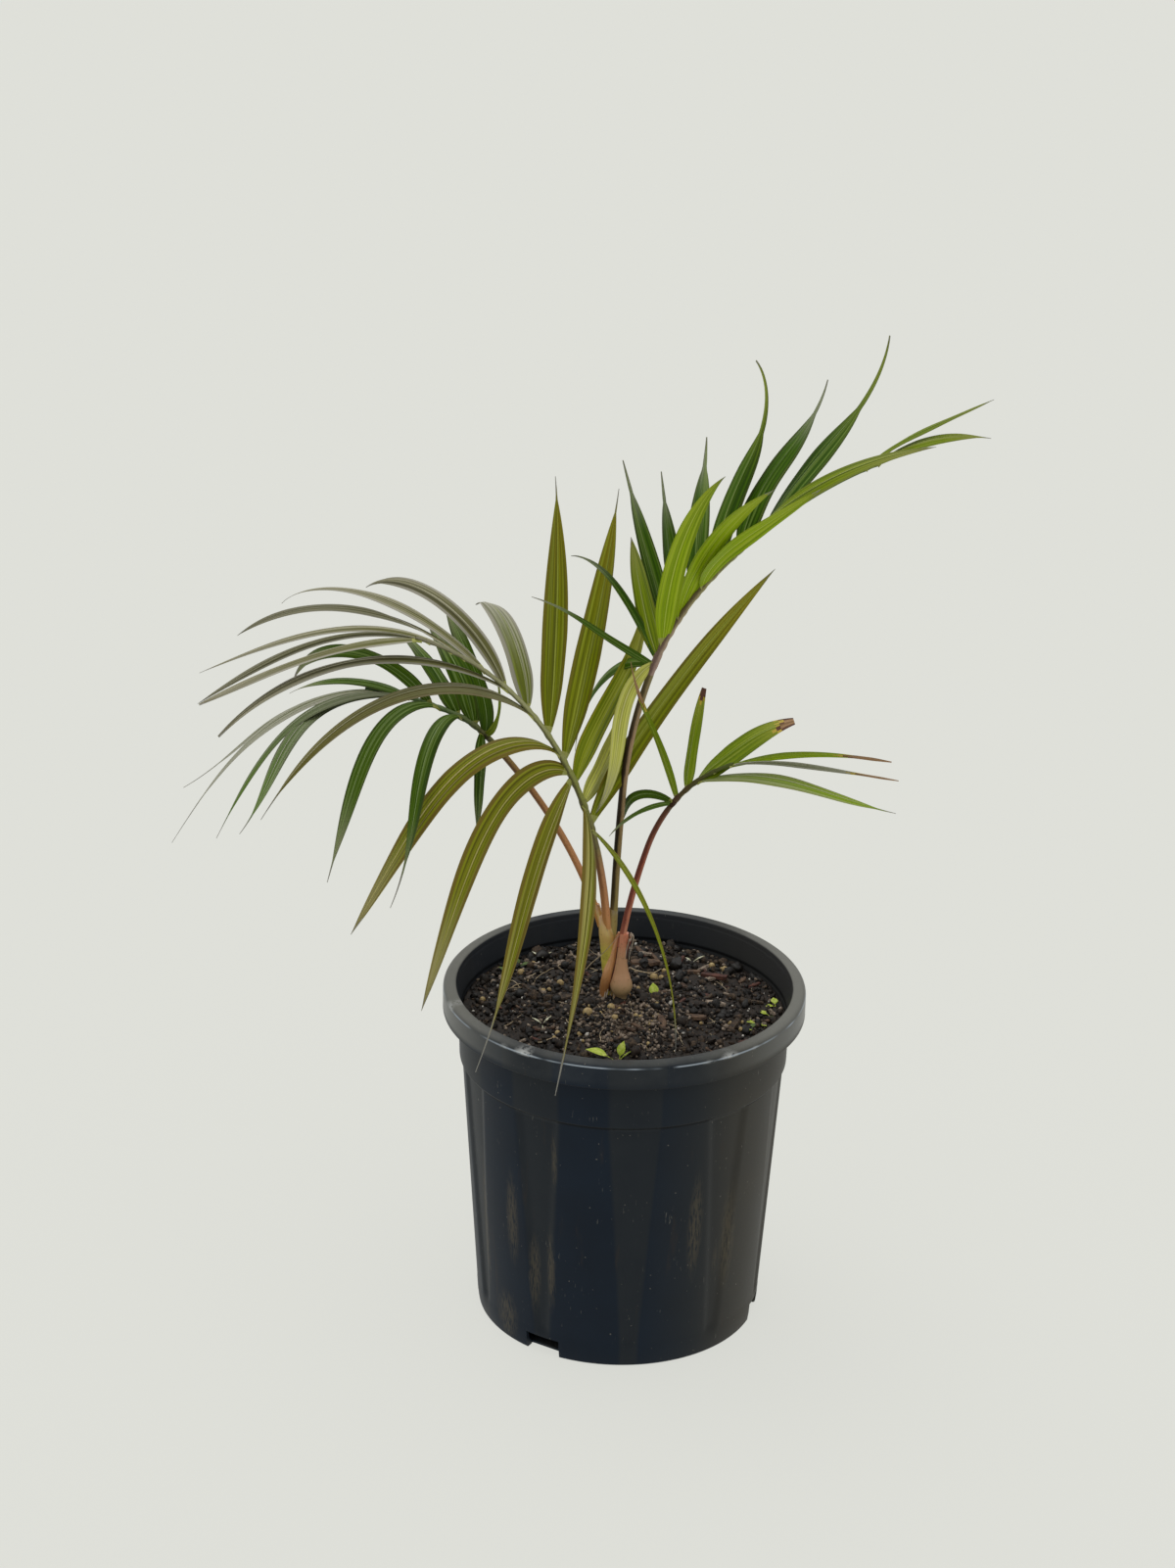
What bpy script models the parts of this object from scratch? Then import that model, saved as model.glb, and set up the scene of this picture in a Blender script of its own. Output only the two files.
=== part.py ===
"""Young pyriformis feather palm in a fluted nursery pot.

Blender 4.5 script. +Z up, X to the right of the front view, Y away from it. The origin
is the middle of the pot's flat underside. Sizes here are in millimetres, and add_object
turns them into the scene's metres.

A frond's stalk and rib are one limb: a path that starts in the short stem and turns
steadily from one named direction to the next. Leaflets leave the rib on both sides,
each bent along one arc. A direction is a heading (0 along +X, 90 along +Y) and a rise
above the level, both in degrees.
"""

import math
from collections import namedtuple

import bmesh
import bpy
import numpy as np

MM = 0.001
CLEARANCE = 0.3

# Pot: the rim's outer radius is the driving size, of a 200 mm nursery pot.
RIM_RADIUS = 100
POT_HEIGHT = 197
WALL = 1.6
RIM_BAND = 15
RIM_INNER_RADIUS = 92.6
RIM_EDGE = 0.8
COLLAR_TOP_RADIUS = 91.8
COLLAR_RADIUS = 90.7
COLLAR_DEPTH = 43
BODY_TOP_RADIUS = 89.2
BODY_FOOT_RADIUS = 80.0
BODY_FOOT_HEIGHT = 14
BASE_RADIUS = 77.5
BASE_PLATE = 2
FOOT_ROUND = 1.5
INNER_CORNER = 3
SHOULDER = 1.2
CHAMFER = 0.6

# Flutes: shallow upright channels that narrow towards the foot.
FLUTES = 10
FLUTE_PITCH = 360 / FLUTES
FLUTE_FIRST = -85
FLUTE_RECESS = 1.4
FLUTE_HALF_TOP = 9.5
FLUTE_HALF_FOOT = 4
FLUTE_TOP = 149
FLUTE_FOOT = 16
FLUTE_RAMP = 4
FLUTE_FLOOR = 0.7

# Heights of the body's rings.
WALL_HEIGHTS = (FLUTE_FOOT - FLUTE_RAMP, FLUTE_FOOT, 60, 105, FLUTE_TOP, FLUTE_TOP + FLUTE_RAMP / 2)

# Drain notches in the foot, on four of the flutes.
NOTCHED_FLUTES = (-1, 2, 4, 7)
NOTCH_WIDTH = 21
NOTCH_HEIGHT = 11
NOTCH_DEPTH = 7

# Potting mix: level at the wall, mounded to a flat seat under the stem.
MIX_WALL_HEIGHT = 179
MIX_SEAT_HEIGHT = 187.5
MIX_SEAT_RADIUS = 14
MIX_WALL_GAP = 0.8
MIX_RINGS = 4
MIX_UNEVENNESS = 1.0
SEED = 11

# Stem: clasping leaf bases that share one foot.
STEM_CENTRE = (-4, 4.5)
STUB_SPACING = 4
STEM_CUTTER = (100, 100, 40)

# Limbs: the spacing of their rings, and how far the rib starts below its first leaflet.
STALK_SPACING = 14
RIB_SPACING = 9
RIB_LEAD = 5
LIMB_SIDES = 8

# Blades: lance-shaped, widest at BLADE_WIDEST of their length, thinner towards the tip.
BLADE_STATIONS = 9
BLADE_THICKNESS = 1.8
BLADE_FOOT_WIDTH = 3.2
BLADE_WIDEST = 0.35
BLADE_TAPER = 1.9
BLADE_THINNING = 0.5
BLADE_END_MARGIN = 1.5
END_ON = 0.9

# A leg turns steadily to its heading and rise. A limb's stub lies in the stem, and its
# radii are those at the stub, at the first leaflet and at the tip.
Leg = namedtuple("Leg", "length heading rise")
Limb = namedtuple("Limb", "start heading rise stub stalk rib radii")

# A leaflet starts at a part of the rib's length and reaches its tip along a heading and
# a rise. It bends by arch degrees over that straight line and by side degrees to the left
# of it: evenly where hook is 1, and more of it near the rib where hook is larger.
Leaflet = namedtuple("Leaflet", "at reach heading rise arch side hook width")

# A sheath runs straight from foot to top, with evenly spaced radii.
Sheath = namedtuple("Sheath", "foot top radii")

# Red, green, blue and roughness of each node.
FINISHES = {
    "pot": (0.012, 0.014, 0.017, 0.5),
    "potting_mix": (0.03, 0.022, 0.016, 0.95),
    "stem": (0.36, 0.2, 0.1, 0.55),
    "tall_stalk": (0.09, 0.06, 0.05, 0.45),
    "right_stalk": (0.16, 0.05, 0.03, 0.45),
    "middle_stalk": (0.38, 0.19, 0.09, 0.5),
    "left_stalk": (0.3, 0.13, 0.05, 0.5),
    "tall_frond": (0.13, 0.22, 0.02, 0.4),
    "right_frond": (0.11, 0.2, 0.03, 0.4),
    "middle_frond": (0.14, 0.15, 0.02, 0.4),
    "left_frond": (0.05, 0.11, 0.03, 0.45),
}

SHEATHS = (
    Sheath(foot=(-6, 7, 180), top=(-5, 4, 230), radii=(7.5, 7.6, 6.6, 5.8, 5.0, 4.2)),
    Sheath(foot=(-9, 6, 192), top=(-10, 4, 236), radii=(3.4, 4.4, 5.4, 5.6, 4.6)),
    Sheath(foot=(-2, 0, 180), top=(-2.5, -2, 226), radii=(6.2, 6.6, 5.2, 3.8, 3.0, 2.4)),
)

LIMBS = {
    "tall": Limb(
        start=(-7, 3, 228), heading=356, rise=89, stub=12,
        stalk=(Leg(83, 356, 86), Leg(73, 356, 71)),
        rib=(Leg(60, 356, 50), Leg(60, 355, 38), Leg(50, 352, 26)),
        radii=(2.2, 1.9, 0.9)),
    "right": Limb(
        start=(-3, -3, 218), heading=345, rise=82, stub=12,
        stalk=(Leg(65, 345, 73), Leg(30, 345, 56)),
        rib=(Leg(20, 340, 42), Leg(26, 330, 27)),
        radii=(1.9, 1.5, 1.0)),
    "middle": Limb(
        start=(-10, 1, 222), heading=215, rise=87, stub=14,
        stalk=(Leg(62, 215, 75),),
        rib=(Leg(73, 203, 58), Leg(30, 198, 48), Leg(35, 196, 35), Leg(32, 195, 21)),
        radii=(2.4, 2.0, 0.9)),
    "left": Limb(
        start=(-13, 6, 226), heading=172, rise=74, stub=14,
        stalk=(Leg(70, 172, 57), Leg(58, 172, 46)),
        rib=(Leg(20, 174, 23), Leg(28, 176, 14), Leg(24, 178, 5)),
        radii=(2.0, 1.7, 0.8)),
}

LEAFLETS = {
    "tall": (
        Leaflet(0.00, 78, 190, 32, 20, 0, 1.0, 6),
        Leaflet(0.03, 75, 140, 35, 70, 0, 1.0, 7),
        Leaflet(0.05, 65, 130, 65, 10, 0, 1.0, 11),
        Leaflet(0.11, 95, 120, 60, 0, -20, 1.0, 13),
        Leaflet(0.21, 75, 105, 55, 0, -10, 1.0, 12),
        Leaflet(0.29, 85, 85, 60, 0, -40, 0.5, 13),
        Leaflet(0.38, 110, 65, 70, 0, -70, 0.5, 14),
        Leaflet(0.47, 100, 30, 60, 0, -40, 0.5, 13),
        Leaflet(0.60, 115, 25, 55, -10, -20, 1.0, 13),
        Leaflet(0.96, 75, 5, 30, 30, 0, 1.0, 7),
        Leaflet(0.09, 120, 305, 65, 30, -20, 1.0, 15),
        Leaflet(0.18, 105, 320, 55, 40, 0, 1.5, 13),
        Leaflet(0.31, 100, 330, 45, 30, -20, 1.5, 11),
        Leaflet(0.45, 130, 340, 35, 40, 10, 1.0, 11),
        Leaflet(1.00, 60, 0, 15, 50, 0, 1.5, 9),
        Leaflet(0.00, 90, 200, -70, 60, 0, 4.0, 8),
        Leaflet(0.02, 85, 140, -50, 110, 0, 3.0, 8),
    ),
    "right": (
        Leaflet(0.00, 50, 140, -35, 90, 0, 1.5, 8),
        Leaflet(0.00, 40, 205, -20, 60, 0, 1.5, 6),
        Leaflet(0.11, 80, 165, 70, 10, 0, 1.0, 6),
        Leaflet(0.30, 55, 70, 70, 10, 10, 1.0, 9),
        Leaflet(0.46, 60, 10, 36, 10, 0, 1.0, 14),
        Leaflet(0.70, 95, 0, 5, 30, 10, 1.5, 7),
        Leaflet(0.95, 90, 345, 0, 20, 0, 1.0, 7),
        Leaflet(0.54, 110, 335, 0, 40, 0, 2.0, 10),
    ),
    "middle": (
        Leaflet(0.09, 174, 40, 43, -10, 0, 1.0, 13),
        Leaflet(0.17, 70, 55, 55, -30, -10, 1.0, 12),
        Leaflet(0.24, 105, 55, 55, -20, -10, 1.0, 14),
        Leaflet(0.33, 150, 70, 60, -20, 0, 1.0, 15),
        Leaflet(0.43, 140, 90, 60, 20, -10, 1.0, 14),
        Leaflet(0.55, 80, 115, 25, 90, 0, 1.0, 13),
        Leaflet(0.65, 100, 145, 20, 100, 20, 1.0, 12),
        Leaflet(0.74, 120, 160, 10, 90, 20, 1.0, 11),
        Leaflet(0.82, 140, 155, -5, 70, 0, 1.0, 10),
        Leaflet(0.88, 140, 170, -10, 50, -10, 1.5, 10),
        Leaflet(0.94, 135, 170, -20, 50, -10, 1.5, 9),
        Leaflet(0.98, 120, 190, -15, 30, 0, 1.5, 9),
        Leaflet(0.05, 130, 305, -50, 70, 10, 1.0, 7),
        Leaflet(0.12, 160, 265, -43, 60, 45, 1.5, 13),
        Leaflet(0.21, 160, 240, -55, 50, 10, 4.0, 13),
        Leaflet(0.26, 150, 225, -45, 95, 0, 4.0, 14),
        Leaflet(0.34, 150, 190, -41, 95, 10, 3.5, 14),
        Leaflet(0.51, 155, 200, -15, 100, -10, 1.5, 11),
        Leaflet(0.64, 155, 195, -5, 80, -10, 1.0, 10),
    ),
    "left": (
        Leaflet(0.00, 40, 65, 80, -20, -30, 1.0, 6),
        Leaflet(0.04, 80, 125, 55, 60, 0, 2.0, 13),
        Leaflet(0.12, 60, 125, 45, 60, 0, 1.5, 13),
        Leaflet(0.26, 60, 135, 35, 40, 0, 1.0, 14),
        Leaflet(0.49, 85, 155, 0, 110, 20, 1.0, 12),
        Leaflet(0.65, 70, 165, -5, 60, 10, 1.0, 9),
        Leaflet(0.04, 70, 270, -35, 60, -10, 3.0, 9),
        Leaflet(0.25, 120, 250, -37, 90, 10, 4.0, 11),
        Leaflet(0.40, 115, 230, -40, 90, -50, 4.0, 11),
        Leaflet(0.57, 130, 221, -22, 80, -30, 2.0, 12),
        Leaflet(0.68, 128, 198, -34, 90, -10, 2.0, 10),
        Leaflet(0.76, 150, 185, -35, 70, -10, 2.0, 10),
        Leaflet(1.00, 128, 165, -33, 30, 0, 1.5, 9),
    ),
}


def clear_scene():
    """Remove every object of the open file."""
    for old in list(bpy.data.objects):
        bpy.data.objects.remove(old, do_unlink=True)


def plain_material(node):
    """A node's own Principled material, of one colour and not metallic."""
    red, green, blue, roughness = FINISHES[node]
    material = bpy.data.materials.new(node + "_finish")
    material.use_nodes = True
    shader = material.node_tree.nodes["Principled BSDF"]
    shader.inputs["Base Color"].default_value = (red, green, blue, 1.0)
    shader.inputs["Roughness"].default_value = roughness
    shader.inputs["Metallic"].default_value = 0.0
    material.diffuse_color = (red, green, blue, 1.0)
    return material


def add_object(name, points, faces, material, sharp_above=40):
    """An object from points in millimetres, smooth up to an edge angle in degrees."""
    mesh = bpy.data.meshes.new(name)
    mesh.from_pydata([tuple(float(value) * MM for value in point) for point in points], [], faces)
    mesh.validate()
    mesh.shade_smooth()
    mesh.set_sharp_from_angle(angle=math.radians(sharp_above))
    mesh.materials.append(material)
    piece = bpy.data.objects.new(name, mesh)
    bpy.context.scene.collection.objects.link(piece)
    return piece


def ring_faces(rings, sides, open_end=False):
    """Faces of a lofted body whose rings follow each other in one list of points."""
    faces = []
    for ring in range(rings - 1):
        low = ring * sides
        for side in range(sides):
            after = (side + 1) % sides
            faces.append((low + side, low + after, low + sides + after, low + sides + side))
    faces.append(tuple(reversed(range(sides))))
    if not open_end:
        faces.append(tuple(range((rings - 1) * sides, rings * sides)))
    return faces


def direction(heading, rise):
    """The unit vector of a heading and a rise in degrees."""
    turn, lift = math.radians(heading), math.radians(rise)
    level = math.cos(lift)
    return np.array([level * math.cos(turn), level * math.sin(turn), math.sin(lift)])


def unit(vector):
    """The vector at length one."""
    return vector / np.linalg.norm(vector)


def limb_path(limb):
    """Points a millimetre apart along a limb, from the stem to the rib's tip."""
    points = [np.array(limb.start, dtype=float)]
    heading, rise = limb.heading, limb.rise
    for leg in limb.stalk + limb.rib:
        for step in range(leg.length):
            part = (step + 0.5) / leg.length
            ahead = direction(heading + (leg.heading - heading) * part,
                              rise + (leg.rise - rise) * part)
            points.append(points[-1] + ahead)
        heading, rise = leg.heading, leg.rise
    return np.array(points)


def stalk_length(limb):
    """The length of a limb below its first leaflet."""
    return sum(leg.length for leg in limb.stalk)


def along(path, distance):
    """The point of a path, stepped in millimetres, at a distance from its start."""
    before = min(int(distance), len(path) - 2)
    return path[before] + (path[before + 1] - path[before]) * (distance - before)


def stretch(path, start, end, spacing):
    """Evenly spaced points of a path between two distances."""
    count = max(2, round((end - start) / spacing) + 1)
    return np.array([along(path, distance) for distance in np.linspace(start, end, count)])


def tangents(points):
    """Unit directions along a line of points."""
    return np.array([unit(step) for step in np.gradient(points, axis=0)])


def carry_across(across, ahead):
    """The across direction turned to stay square to the way ahead."""
    return unit(across - ahead * np.dot(across, ahead))


def tube(points, radii):
    """Points and faces of a round limb along a line, with a radius for each point."""
    ways = tangents(points)
    across = carry_across(np.array([0.0, 1.0, 0.0]), ways[0])
    turns = np.arange(LIMB_SIDES) * 2 * math.pi / LIMB_SIDES
    rings = []
    for point, way, radius in zip(points, ways, radii):
        across = carry_across(across, way)
        other = np.cross(way, across)
        rings.extend(point + radius * (math.cos(turn) * across + math.sin(turn) * other)
                     for turn in turns)
    return rings, ring_faces(len(points), LIMB_SIDES)


def leaflet_path(leaflet, foot):
    """Points of a leaflet's middle line: one arc over its straight reach."""
    chord = direction(leaflet.heading, leaflet.rise)
    left = direction(leaflet.heading + 90, 0)
    bend = math.hypot(leaflet.arch, leaflet.side)
    bulge = leaflet.arch * np.cross(chord, left) + leaflet.side * left
    bulge = bulge / max(bend, 1e-6)
    middles = (np.arange(BLADE_STATIONS) + 0.5) / BLADE_STATIONS
    angles = math.radians(bend) * (1 - middles) ** leaflet.hook
    ahead = np.concatenate([[0], np.cumsum(np.cos(angles))])
    aside = np.concatenate([[0], np.cumsum(np.sin(angles))])
    tilt = math.atan2(aside[-1], ahead[-1])
    scale = leaflet.reach / math.hypot(ahead[-1], aside[-1])
    straight = (ahead * math.cos(tilt) + aside * math.sin(tilt)) * scale
    bowed = (aside * math.cos(tilt) - ahead * math.sin(tilt)) * scale
    return foot + np.outer(straight, chord) + np.outer(bowed, bulge)


def blade_width(part, widest):
    """A lance-shaped leaflet's width at a part of its length."""
    if part < BLADE_WIDEST:
        swell = math.sin(math.pi / 2 * part / BLADE_WIDEST)
        return BLADE_FOOT_WIDTH + (widest - BLADE_FOOT_WIDTH) * swell
    return widest * (1 - ((part - BLADE_WIDEST) / (1 - BLADE_WIDEST)) ** BLADE_TAPER)


def blade(leaflet, foot, rib_way):
    """Points and faces of a leaflet: a four-sided blade that ends in a point."""
    line = leaflet_path(leaflet, foot)
    ways = tangents(line)
    end_on = abs(np.dot(rib_way, ways[0])) > END_ON
    across = np.cross(ways[0], (0, 0, 1)) if end_on else rib_way
    points = []
    for station in range(BLADE_STATIONS):
        way = ways[station]
        across = carry_across(across, way)
        normal = np.cross(way, across)
        part = station / BLADE_STATIONS
        half = blade_width(part, leaflet.width) / 2
        skin = BLADE_THICKNESS / 2 * (1 - BLADE_THINNING * part)
        middle = line[station]
        points += [middle - half * across, middle - skin * normal,
                   middle + half * across, middle + skin * normal]
    faces = ring_faces(BLADE_STATIONS, 4, open_end=True)
    last = len(points) - 4
    tip = len(points)
    points.append(line[-1])
    faces += [(last + side, last + (side + 1) % 4, tip) for side in range(4)]
    return points, faces


def split_to_triangles(mesh):
    """Turn every face into triangles, so that a union meets only flat ones."""
    shape = bmesh.new()
    shape.from_mesh(mesh)
    bmesh.ops.triangulate(shape, faces=shape.faces)
    shape.to_mesh(mesh)
    shape.free()


def join_by_union(base, others):
    """Join overlapping pieces into one closed body and keep it as the first piece's mesh."""
    for piece in [base, *others]:
        split_to_triangles(piece.data)
    group = bpy.data.collections.new(base.name + "_parts")
    for other in others:
        bpy.context.scene.collection.objects.unlink(other)
        group.objects.link(other)
    bpy.context.scene.collection.children.link(group)
    union = base.modifiers.new("union", "BOOLEAN")
    union.operation = "UNION"
    union.operand_type = "COLLECTION"
    union.collection = group
    union.solver = "EXACT"
    apply_modifiers(base)
    for other in others:
        bpy.data.objects.remove(other, do_unlink=True)
    bpy.data.collections.remove(group)
    keep_outer_skin(base.data)


def keep_outer_skin(mesh):
    """Fill hollows that a union sealed and drop loose scraps: only the largest skin stays."""
    shape = bmesh.new()
    shape.from_mesh(mesh)
    unseen = set(shape.faces)
    skins = []
    while unseen:
        skin = []
        to_visit = [unseen.pop()]
        while to_visit:
            face = to_visit.pop()
            skin.append(face)
            for side in face.edges:
                for neighbour in side.link_faces:
                    if neighbour in unseen:
                        unseen.remove(neighbour)
                        to_visit.append(neighbour)
        skins.append(skin)
    skins.sort(key=len)
    spare = [face for skin in skins[:-1] for face in skin]
    bmesh.ops.delete(shape, geom=spare, context="FACES")
    shape.to_mesh(mesh)
    shape.free()


def apply_modifiers(piece):
    """Keep a piece's evaluated mesh and drop its modifiers."""
    bpy.context.view_layer.update()
    depsgraph = bpy.context.evaluated_depsgraph_get()
    finished = bpy.data.meshes.new_from_object(piece.evaluated_get(depsgraph))
    spent = piece.data
    piece.modifiers.clear()
    piece.data = finished
    bpy.data.meshes.remove(spent)


def make_stalk(name, limb):
    """The bare stalk between the stem's stub and the first leaflet."""
    path = limb_path(limb)
    end = stalk_length(limb) - RIB_LEAD - CLEARANCE
    points = stretch(path, limb.stub + CLEARANCE, end, STALK_SPACING)
    radii = np.linspace(limb.radii[0], limb.radii[1], len(points))
    rings, faces = tube(points, radii)
    node = name + "_stalk"
    return add_object(node, rings, faces, plain_material(node))


def make_frond(name, limb, leaflets):
    """A rib with its leaflets, joined into one body."""
    node = name + "_frond"
    material = plain_material(node)
    path = limb_path(limb)
    start = stalk_length(limb)
    length = len(path) - 1 - start
    points = stretch(path, start - RIB_LEAD, start + length, RIB_SPACING)
    rings, faces = tube(points, np.linspace(limb.radii[1], limb.radii[2], len(points)))
    rib = add_object(node, rings, faces, material)
    ways = tangents(path)
    blades = []
    for number, leaflet in enumerate(leaflets):
        distance = start + np.clip(leaflet.at * length, BLADE_END_MARGIN, length - BLADE_END_MARGIN)
        foot = along(path, distance)
        points, faces = blade(leaflet, foot, ways[int(distance)])
        blades.append(add_object(f"{name}_leaflet_{number}", points, faces, material))
    join_by_union(rib, blades)
    return rib


def flute_middle(number):
    """The heading of a flute's middle line."""
    return FLUTE_FIRST + FLUTE_PITCH * number


def wall_turns(height):
    """Headings of a pot ring's points, with five on each flute and two on each land."""
    half = np.interp(height, (FLUTE_FOOT, FLUTE_TOP), (FLUTE_HALF_FOOT, FLUTE_HALF_TOP))
    land = FLUTE_PITCH - 2 * half
    offsets = [-half, -FLUTE_FLOOR * half, 0, FLUTE_FLOOR * half, half,
               half + land / 3, half + land * 2 / 3]
    return [flute_middle(number) + offset for number in range(FLUTES) for offset in offsets]


def flute_depth(height):
    """How far a flute's floor lies behind the wall at a height."""
    marks = (FLUTE_FOOT - FLUTE_RAMP, FLUTE_FOOT, FLUTE_TOP, FLUTE_TOP + FLUTE_RAMP / 2)
    return float(np.interp(height, marks, (0, FLUTE_RECESS, FLUTE_RECESS, 0)))


def wall_ring(radius, height, fluted=True):
    """Points of a ring round the pot, drawn in where the flutes run."""
    depth = flute_depth(height) if fluted else 0
    floor = (0, 1, 1, 1, 0, 0, 0) * FLUTES
    return [(radius - depth * deep) * direction(turn, 0) + np.array([0, 0, height])
            for turn, deep in zip(wall_turns(height), floor)]


def body_radius(height):
    """The outer radius of the pot's tapered body."""
    top = POT_HEIGHT - COLLAR_DEPTH
    return float(np.interp(height, (BODY_FOOT_HEIGHT, top), (BODY_FOOT_RADIUS, BODY_TOP_RADIUS)))


def inner_radius(height):
    """The radius of the pot's inner wall, which follows the body and then the collar."""
    top = POT_HEIGHT - COLLAR_DEPTH
    if height <= top:
        return body_radius(height) - WALL
    marks = (top, POT_HEIGHT - RIM_BAND, POT_HEIGHT)
    radii = (BODY_TOP_RADIUS - WALL, COLLAR_TOP_RADIUS - WALL, RIM_INNER_RADIUS)
    return float(np.interp(height, marks, radii))


def pot_rings():
    """Rings of the whole pot, from the underside up the outside and down the inside."""
    band_foot = POT_HEIGHT - RIM_BAND
    collar_foot = POT_HEIGHT - COLLAR_DEPTH
    flange = POT_HEIGHT - WALL
    outline = [(BASE_RADIUS, 0), (BASE_RADIUS + FOOT_ROUND, FOOT_ROUND)]
    outline += [(body_radius(height), height) for height in WALL_HEIGHTS]
    outline += [(BODY_TOP_RADIUS, collar_foot - CHAMFER), (COLLAR_RADIUS - CHAMFER, collar_foot),
                (COLLAR_RADIUS, collar_foot + SHOULDER), (COLLAR_TOP_RADIUS, band_foot),
                (COLLAR_TOP_RADIUS + CHAMFER, flange - CHAMFER),
                (COLLAR_TOP_RADIUS + 2 * CHAMFER, flange),
                (RIM_RADIUS - WALL, flange), (RIM_RADIUS - WALL, band_foot),
                (RIM_RADIUS - CHAMFER, band_foot), (RIM_RADIUS, band_foot + CHAMFER),
                (RIM_RADIUS, POT_HEIGHT - RIM_EDGE), (RIM_RADIUS - RIM_EDGE, POT_HEIGHT),
                (RIM_INNER_RADIUS + RIM_EDGE, POT_HEIGHT),
                (RIM_INNER_RADIUS, POT_HEIGHT - RIM_EDGE),
                (inner_radius(band_foot), band_foot), (inner_radius(collar_foot), collar_foot)]
    outline += [(inner_radius(height), height) for height in reversed(WALL_HEIGHTS)]
    outline += [(BASE_RADIUS - CHAMFER, BASE_PLATE + INNER_CORNER),
                (BASE_RADIUS - INNER_CORNER, BASE_PLATE)]
    return [wall_ring(radius, height) for radius, height in outline]


def notch_cutter(number):
    """A box that opens a drain notch through the foot of one flute."""
    bpy.ops.mesh.primitive_cube_add(size=1)
    cutter = bpy.context.object
    cutter.name = f"notch_{number}"
    cutter.scale = (2 * NOTCH_DEPTH * MM, NOTCH_WIDTH * MM, 2 * NOTCH_HEIGHT * MM)
    cutter.location = direction(flute_middle(number), 0) * BODY_FOOT_RADIUS * MM
    cutter.rotation_euler.z = math.radians(flute_middle(number))
    cutter.hide_render = True
    cutter.display_type = "WIRE"
    return cutter


def cut_away(piece, cutters):
    """Cut each cutter out of a piece, then remove it."""
    for cutter in cutters:
        cut = piece.modifiers.new("cut", "BOOLEAN")
        cut.operation = "DIFFERENCE"
        cut.solver = "EXACT"
        cut.object = cutter
    apply_modifiers(piece)
    for cutter in cutters:
        bpy.data.objects.remove(cutter, do_unlink=True)


def make_pot():
    """The pot: base plate, fluted wall, collar and turned-down rim, with drain notches."""
    rings = pot_rings()
    sides = len(rings[0])
    points = [point for ring in rings for point in ring]
    faces = ring_faces(len(rings), sides)
    pot = add_object("pot", points, faces, plain_material("pot"), sharp_above=30)
    cut_away(pot, [notch_cutter(number) for number in NOTCHED_FLUTES])
    return pot


def make_potting_mix():
    """The mix that fills the pot, mounded to a flat seat under the stem."""
    chance = np.random.default_rng(SEED)
    levels = [*WALL_HEIGHTS, POT_HEIGHT - COLLAR_DEPTH, MIX_WALL_HEIGHT]
    outline = [(BASE_RADIUS - INNER_CORNER, BASE_PLATE + CLEARANCE),
               (BASE_RADIUS - CHAMFER, BASE_PLATE + INNER_CORNER)]
    outline += [(inner_radius(height), height) for height in levels]
    rings = [wall_ring(radius - MIX_WALL_GAP, height) for radius, height in outline]
    wall_radius = outline[-1][0] - MIX_WALL_GAP
    centre = np.array([*STEM_CENTRE, 0])
    for number in range(1, MIX_RINGS + 1):
        part = number / MIX_RINGS
        radius = wall_radius + (MIX_SEAT_RADIUS - wall_radius) * part
        height = MIX_WALL_HEIGHT + (MIX_SEAT_HEIGHT - MIX_WALL_HEIGHT) * math.sin(math.pi / 2 * part)
        ring = [point + centre * part for point in wall_ring(radius, height, fluted=False)]
        if number < MIX_RINGS:
            for point in ring:
                point[2] += chance.uniform(-MIX_UNEVENNESS, MIX_UNEVENNESS)
        rings.append(ring)
    points = [point for ring in rings for point in ring]
    faces = ring_faces(len(rings), len(rings[0]))
    return add_object("potting_mix", points, faces, plain_material("potting_mix"))


def make_sheath(name, sheath, material):
    """One leaf base of the stem: a round body along a straight line, swollen at the foot."""
    line = np.linspace(sheath.foot, sheath.top, len(sheath.radii))
    rings, faces = tube(line, sheath.radii)
    return add_object(name, rings, faces, material)


def make_stem():
    """The short stem: clasping leaf bases with a stub for each stalk, cut flat below."""
    material = plain_material("stem")
    sheaths = [make_sheath(f"sheath_{number}", sheath, material)
               for number, sheath in enumerate(SHEATHS)]
    stubs = []
    for name, limb in LIMBS.items():
        points = stretch(limb_path(limb), 0, limb.stub, STUB_SPACING)
        rings, faces = tube(points, np.full(len(points), limb.radii[0]))
        stubs.append(add_object(name + "_stub", rings, faces, material))
    stem = sheaths[0]
    stem.name = "stem"
    join_by_union(stem, sheaths[1:] + stubs)
    bpy.ops.mesh.primitive_cube_add(size=1)
    buried = bpy.context.object
    buried.scale = [size * MM for size in STEM_CUTTER]
    buried.location.z = (MIX_SEAT_HEIGHT + CLEARANCE - STEM_CUTTER[2] / 2) * MM
    buried.hide_render = True
    buried.display_type = "WIRE"
    cut_away(stem, [buried])
    return stem


def main():
    clear_scene()
    make_pot()
    make_potting_mix()
    make_stem()
    for name, limb in LIMBS.items():
        make_stalk(name, limb)
        make_frond(name, limb, LEAFLETS[name])


if __name__ == "__main__":
    main()
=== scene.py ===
"""Potted pyriformis feather palm: the looks of every surface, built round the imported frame.

Sizes are in millimetres, and a Shape turns them into metres when it becomes a piece. A
direction is a heading (0 along +X, 90 along +Y) and a rise above the level, in degrees.
Each frond grows by the same rule as its solid: a limb that turns steadily from leg to leg,
with leaflets that each bend along one arc.
"""

import math
from collections import namedtuple

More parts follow.
